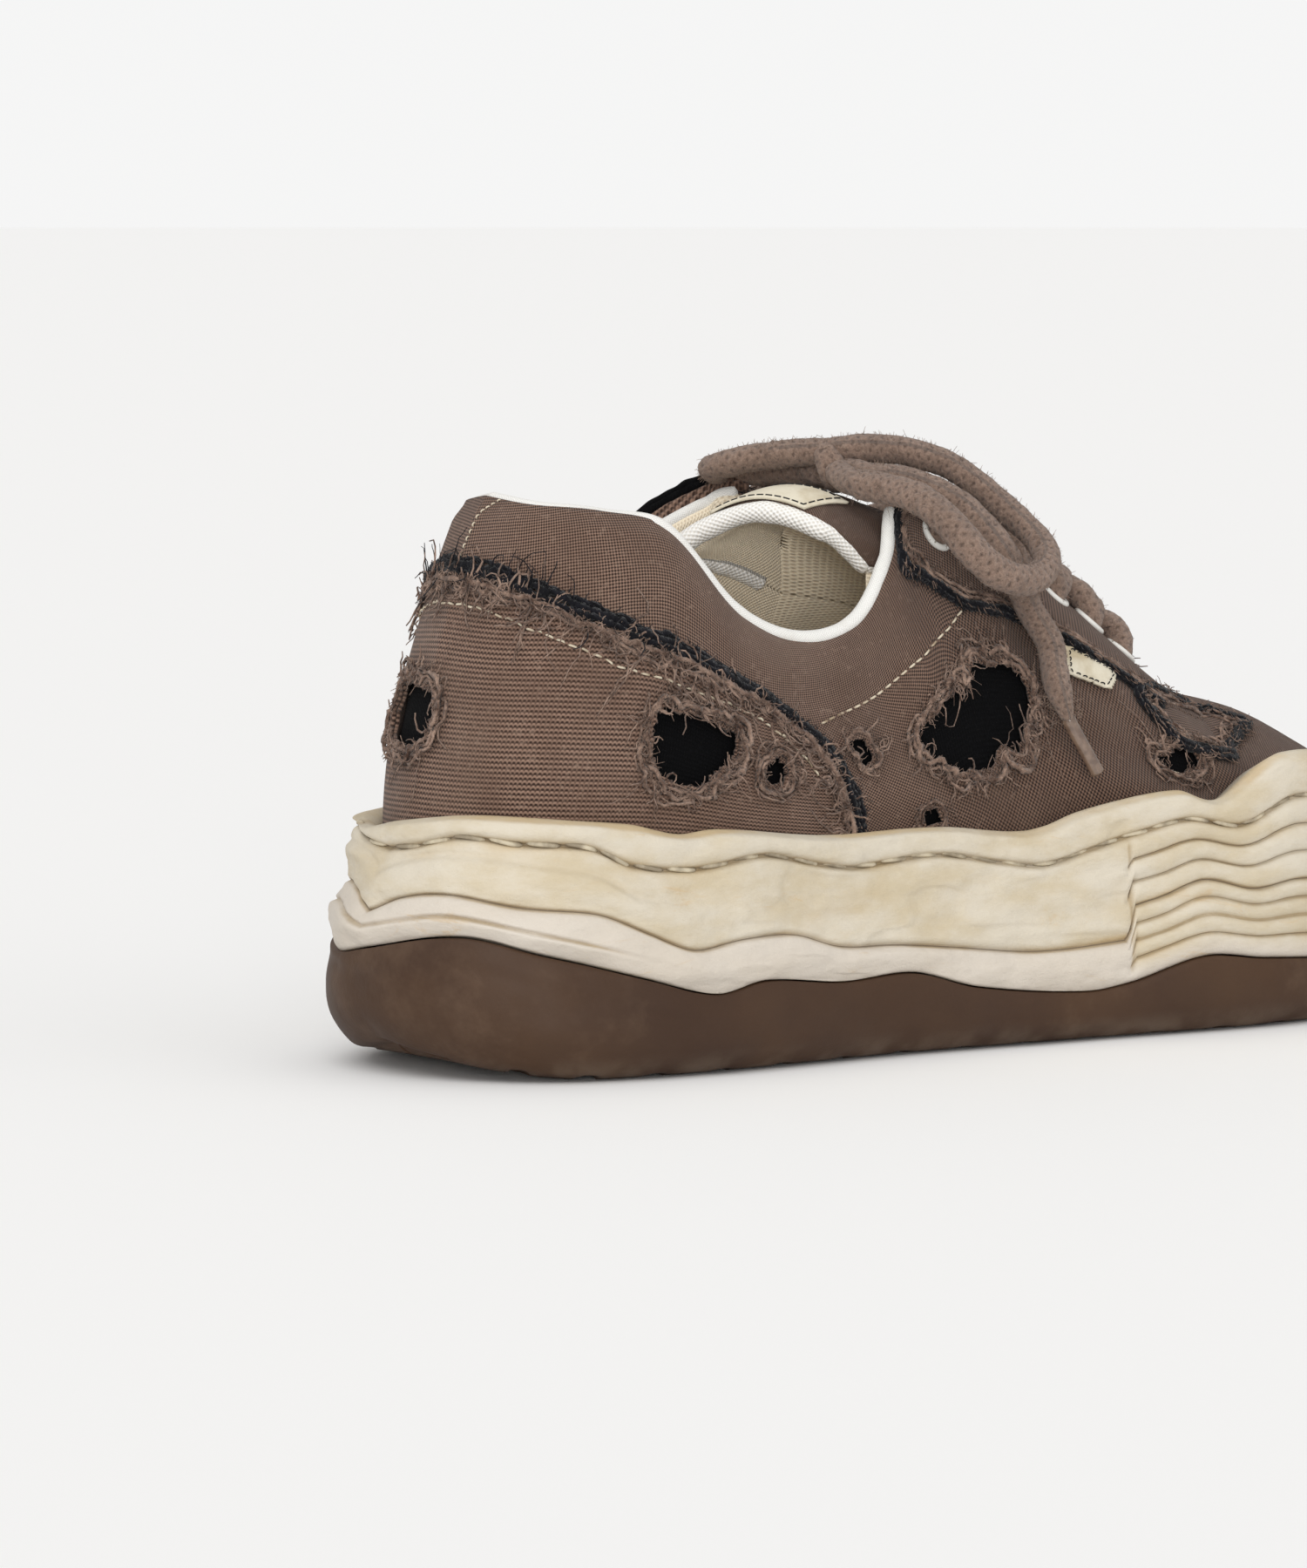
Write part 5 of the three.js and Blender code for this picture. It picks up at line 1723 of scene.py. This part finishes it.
# ---------------------------------------------------------------- the lace
# One soft braided cotton cord, thick and fuzzy, laced to the top eyelets and tied in a bow, with
# a clear hard tip crimped on each end.
LACE_RADIUS = 3.8
LACE_FLAT = 0.84  # its thickness as a share of its width
BRAID_PITCH = 2.5
FIBRE_RADIUS = 0.065
LOOP_OUTER = [
    (-15.5, -6.5, 133.8), (-10.6, -10, 133.2), (-3.2, -16, 130.6), (1.8, -22, 125.8), (6.4, -27, 120),
    (9.2, -34.4, 113.6), (7.8, -40.6, 108.6), (2.4, -44, 105.4), (-6, -45.4, 104.8), (-12.6, -44, 107.6),
    (-17, -41.5, 112.8), (-19.4, -36.5, 118.6), (-21.5, -30, 122.8), (-24.2, -21, 125.2), (-26.8, -13, 126.2),
]
LOOP_INNER = [
    (-29.5, 8, 132.6), (-33, 13, 131.8), (-37.5, 18, 130.6), (-39.5, 23.5, 129), (-34.5, 28, 128),
    (-28.5, 24.5, 127.8), (-22.5, 12.5, 128),
]
END_OUTER_FREE = [
    (-20, -9.5, 127.6), (-16, -13, 127.2), (-9.8, -18.5, 125), (-4.4, -24, 121), (-1.6, -29.5, 115.6),
    (0.6, -34, 109.6),
]
END_OUTER_LYING = [
    (-0.572, 0.68, 5.4), (-0.578, 0.59, 5), (-0.571, 0.508, 5), (-0.57, 0.433, 5), (-0.571, 0.412, 4.7),
]
END_INNER_FREE = [(-15, 9.5, 129.8), (-12, 17, 129), (-10.5, 24, 126.5)]
END_INNER_LYING = [
    (0.52, 0.93, 7.5), (0.53, 0.82, 6.6), (0.548, 0.72, 5.4), (0.562, 0.62, 5), (0.57, 0.52, 5),
    (0.574, 0.43, 5), (0.575, 0.409, 4.7),
]
TIP_OUTER = [(-0.571, 0.42, 4.7), (-0.572, 0.408, 4.6), (-0.578, 0.355, 4.3), (-0.585, 0.3, 4)]
TIP_INNER = [(0.575, 0.417, 4.7), (0.575, 0.405, 4.6), (0.576, 0.35, 4.3), (0.577, 0.295, 4)]
TIP_RADIUS = 1.7
KNOT = np.array([-23.0, 1.0, 129.8])


def lying(rows):
    side, rise, lift = np.array(rows, float).T
    return skin(side, rise, lift)


def curve(places, step=0.6):
    """A smooth centripetal curve through the places, in even steps."""
    p = np.asarray(places, float)
    p = np.concatenate([[2 * p[0] - p[1]], p, [2 * p[-1] - p[-2]]])
    made = []
    for a, b, c, d in zip(p, p[1:], p[2:], p[3:]):
        ab, bc, cd = (np.sqrt(np.linalg.norm(to - start)) for start, to in ((a, b), (b, c), (c, d)))
        lead = ((b - a) / ab - (c - a) / (ab + bc) + (c - b) / bc) * bc
        tail = ((c - b) / bc - (d - b) / (bc + cd) + (d - c) / cd) * bc
        t = np.linspace(0, 1, 40, endpoint=False)[:, None]
        ease = 3 * t**2 - 2 * t**3
        made.append((1 - ease) * b + ease * c + (t**3 - 2 * t**2 + t) * lead + (t**3 - t**2) * tail)
    made = np.concatenate([*made, p[-2:-1]])
    length = distances(made)
    return places_at(made, length, np.linspace(0, length[-1], max(int(length[-1] / step), 4)))


def frames(path):
    run = unit(np.gradient(path, axis=0))
    normal = np.empty_like(path)
    normal[0] = unit(np.cross(run[0], (0.2, 0.3, 0.9)))
    for k in range(1, len(path)):
        normal[k] = unit(normal[k - 1] - run[k] * (normal[k - 1] @ run[k]))
    return run, normal, np.cross(run, normal)


def braid(path, radius=LACE_RADIUS, sides=24, tapered=False):
    """A braided cord along a path: its surface rises where strands cross."""
    _, normal, other = frames(path)
    run = distances(path)[:, None]
    angle = (np.arange(sides) * 2 * np.pi / sides)[None]
    cos, sin = np.cos(angle), np.sin(angle)
    lean = np.pi * run / BRAID_PITCH
    strand = np.maximum(np.cos(3 * angle + lean) ** 2, np.cos(3 * angle - lean) ** 2)
    ridges = radius * (0.94 + 0.08 * strand)
    if tapered:  # drawn in where it runs into its tip
        ridges = ridges * lerp(0.5, 1.0, smooth(0.5, 9.0, run[-1] - run))
    round_it = np.stack(np.broadcast_arrays(cos, sin, 0 * run), -1)
    ridges = ridges + 0.28 * rough(path[:, None] + 3 * round_it, 2.6, 15)
    ridges[[0, -1]] *= 0.35
    ridges[[1, -2]] *= 0.8
    points = path[:, None] + normal[:, None] * (cos * ridges)[..., None]
    points = points + other[:, None] * (sin * ridges * LACE_FLAT)[..., None]
    faces = grid_faces(len(path), sides, ring=True).tolist()
    faces += [list(range(sides))[::-1], [(len(path) - 1) * sides + k for k in range(sides)]]
    uv = np.stack(np.broadcast_arrays(run, angle * radius), -1)
    return points.reshape(-1, 3), faces, uv.reshape(-1, 2)


def fuzz(path, count, radius=LACE_RADIUS, reach=(0.5, 1.5)):
    """Short fibres that stand out of a cord all round."""
    _, normal, other = frames(path)
    at = luck.integers(1, len(path) - 1, count)
    angle = luck.uniform(0, 2 * np.pi, count)
    off = normal[at] * np.cos(angle)[:, None] + other[at] * (np.sin(angle) * LACE_FLAT)[:, None]
    base = path[at] + off * radius * 0.92
    drift = luck.normal(0, 1.1, (count, 3))
    length = luck.uniform(*reach, count) * (1 + 1.3 * (luck.random(count) > 0.96))
    tips = base + unit(off + drift) * length[:, None]
    return tubes(np.stack([base, tips], 1), np.full((count, 2), FIBRE_RADIUS) * (1, 0.7))


def cotton_cord():
    made = Finish(
        "lace_cotton", srgb(128, 108, 94), 0.95, Sheen_Weight=0.25, Sheen_Roughness=0.6,
        Specular_IOR_Level=0.1,
    )
    u, v = made.uv("cloth")
    lean = u * (math.pi / BRAID_PITCH)
    turn = v * (3 / LACE_RADIUS)
    one, two = (turn + lean).math("COSINE"), (turn - lean).math("COSINE")
    strand = (one * one).math("MAXIMUM", two * two)
    fibre = made.noise(0.8, 5, roughness=0.8)
    tone = made.noise(6, 4, roughness=0.6)
    # Darker where the strands part: painted shade in the braid's gaps.
    base = made.mix(strand.fade(0.0, 0.55), srgb(100, 80, 68), srgb(138, 114, 99))
    base = made.mix(fibre.fade(0.5, 0.66) * 0.6, base, srgb(172, 148, 131))
    base = made.mix(fibre.fade(0.48, 0.34) * 0.7, base, srgb(70, 53, 44))
    base = made.mix(tone.fade(0.4, 0.75) * 0.35, base, srgb(92, 74, 63))
    made.set("Base Color", base)
    made.bump(strand * 0.35 + fibre, 0.5)
    return made


cord_finish = cotton_cord()
fibre_finish = fray_finish("lace_fibre", srgb(112, 92, 79), srgb(164, 142, 126))


def clear_tip(name, rows):
    """A tube of clear film shrunk over the end of the cord."""
    path = curve(lying(rows), 0.5)
    t = np.linspace(0, 1, len(path))
    radii = TIP_RADIUS * (1.04 - 0.06 * smooth(0, 0.12, t) + 0.04 * smooth(0.9, 1, t))
    points, faces = tubes(path[None], radii[None], 16)
    made = piece(f"lace_tip_{name}_film", points, faces, tip_finish)
    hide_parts(f"lace_tip_{name}")
    return made


tip_finish = Finish(
    "clear_film", srgb(120, 98, 82), 0.22, Coat_Weight=0.8, Coat_Roughness=0.12, Specular_IOR_Level=0.6
)
tip_tone = tip_finish.noise(2.5, 4).fade(0.3, 0.7)
tip_finish.set("Base Color", tip_finish.mix(tip_tone, srgb(92, 72, 60), srgb(128, 106, 90)))


def lace_run(name, path, fibres, tapered=False):
    """A free stretch of the lace: its braid and its loose fibres."""
    points, faces, uv = braid(path, tapered=tapered)
    made = piece(f"{name}_braid", points, faces, cord_finish, uv=uv)
    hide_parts(name)
    points, faces = fuzz(path, fibres)
    hairs = piece(f"{name}_fibres", points, faces, fibre_finish)
    return made


path = curve(LOOP_OUTER)
lace_run("lace_loop_outer", path, 2500)
path = curve(LOOP_INNER)
lace_run("lace_loop_inner", path, 1100)
outer_tip = clear_tip("outer", TIP_OUTER)
inner_tip = clear_tip("inner", TIP_INNER)
path = curve([*END_OUTER_FREE, *lying(END_OUTER_LYING)])
lace_run("lace_end_outer", path, 1500, tapered=True)
path = curve([*END_INNER_FREE, *lying(END_INNER_LYING)])
lace_run("lace_end_inner", path, 700, tapered=True)

# The knot: one turn of the cord drawn tight round the crossed strands.
KNOT_AXIS = unit(np.array([0.75, -0.62, 0.1]))
knot_up = unit(np.cross(KNOT_AXIS, np.cross((0, 0, 1.0), KNOT_AXIS)))
knot_level = np.cross(knot_up, KNOT_AXIS)
wrap = [
    KNOT + 3.6 * np.sin(turn) * knot_up + 3.4 * np.cos(turn) * knot_level + KNOT_AXIS * (turn - 3) * 0.8
    for turn in np.linspace(-0.4, 2 * np.pi + 0.2, 16)
]
DRAWN = 3.84  # the cord's radius where the knot draws it in
drawn = [
    (curve(wrap), 3.5),
    (curve([*LOOP_INNER[1::-1], (-24, 2, 133), (-19, -3.5, 133.8), *LOOP_OUTER[:2]]), DRAWN),
    (curve([*LOOP_INNER[-2:], (-22, 6, 128), (-20.5, -2, 128.6), *END_OUTER_FREE[:2]]), DRAWN),
    (curve([*LOOP_OUTER[-2:], (-25, -6, 127.6), (-20, 3, 129), *END_INNER_FREE[:2]]), DRAWN),
]
strands = [braid(line, radius) for line, radius in drawn]
points, faces = merged(*[strand[:2] for strand in strands])
knot_uv = np.concatenate([strand[2] for strand in strands])
knot = piece("lace_knot_braid", points, faces, cord_finish, uv=knot_uv)
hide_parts("lace_knot")
points, faces = merged(*[fuzz(line, 650, radius) for line, radius in drawn])
piece("lace_knot_fibres", points, faces, fibre_finish)

# The crossings: out of one eyelet, over the tongue, and down through the next one opposite.
CROSSING_RADIUS = 3.1
RISE_OUTER = [(-14, -13, 124), (-19, -5, 127), (-22, 1, 129)]
RISE_INNER = [(-15, 14, 126), (-19, 7, 128), (-22, 1, 129)]


def crossing(sign, index):
    start, end = EYELET_SIDES[index], EYELET_SIDES[index + 1]
    middle = under_throat((start + end) / 2, 0.0) + (1.5, 0, 6.4 - 1.6 * (sign > 0))
    near, far = sign * (0.8 * start + 0.2 * end), -sign * (0.2 * start + 0.8 * end)
    return curve([
        skin(sign * start, EYELET_RISE, -2.5), skin(sign * start, EYELET_RISE, 1.5), skin(near, 0.96, 4.6),
        middle,
        skin(far, 0.96, 4.6), skin(-sign * end, EYELET_RISE, 1.5), skin(-sign * end, EYELET_RISE, -2.5),
    ])


def rise_to_knot(sign, free):
    """From a top eyelet up to the knot."""
    top = sign * EYELET_SIDES[0]
    out_of_hole = [skin(top, EYELET_RISE, -2.5), skin(top, EYELET_RISE, 2.0), skin(sign * 0.52, 0.97, 5.0)]
    return curve([*out_of_hole, *free])


paths = [crossing(sign, index) for index in range(1, 5) for sign in (-1, 1)]
paths += [rise_to_knot(-1, RISE_OUTER), rise_to_knot(1, RISE_INNER)]
strands = [braid(path, CROSSING_RADIUS, 20) for path in paths]
points, faces = merged(*[strand[:2] for strand in strands])
lace_uv = np.concatenate([strand[2] for strand in strands])
crossings = piece("lace_crossings_braid", points, faces, cord_finish, uv=lace_uv)
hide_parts("lace_crossings")
points, faces = merged(*[fuzz(path, 380, CROSSING_RADIUS) for path in paths])
piece("lace_crossings_fibres", points, faces, fibre_finish)
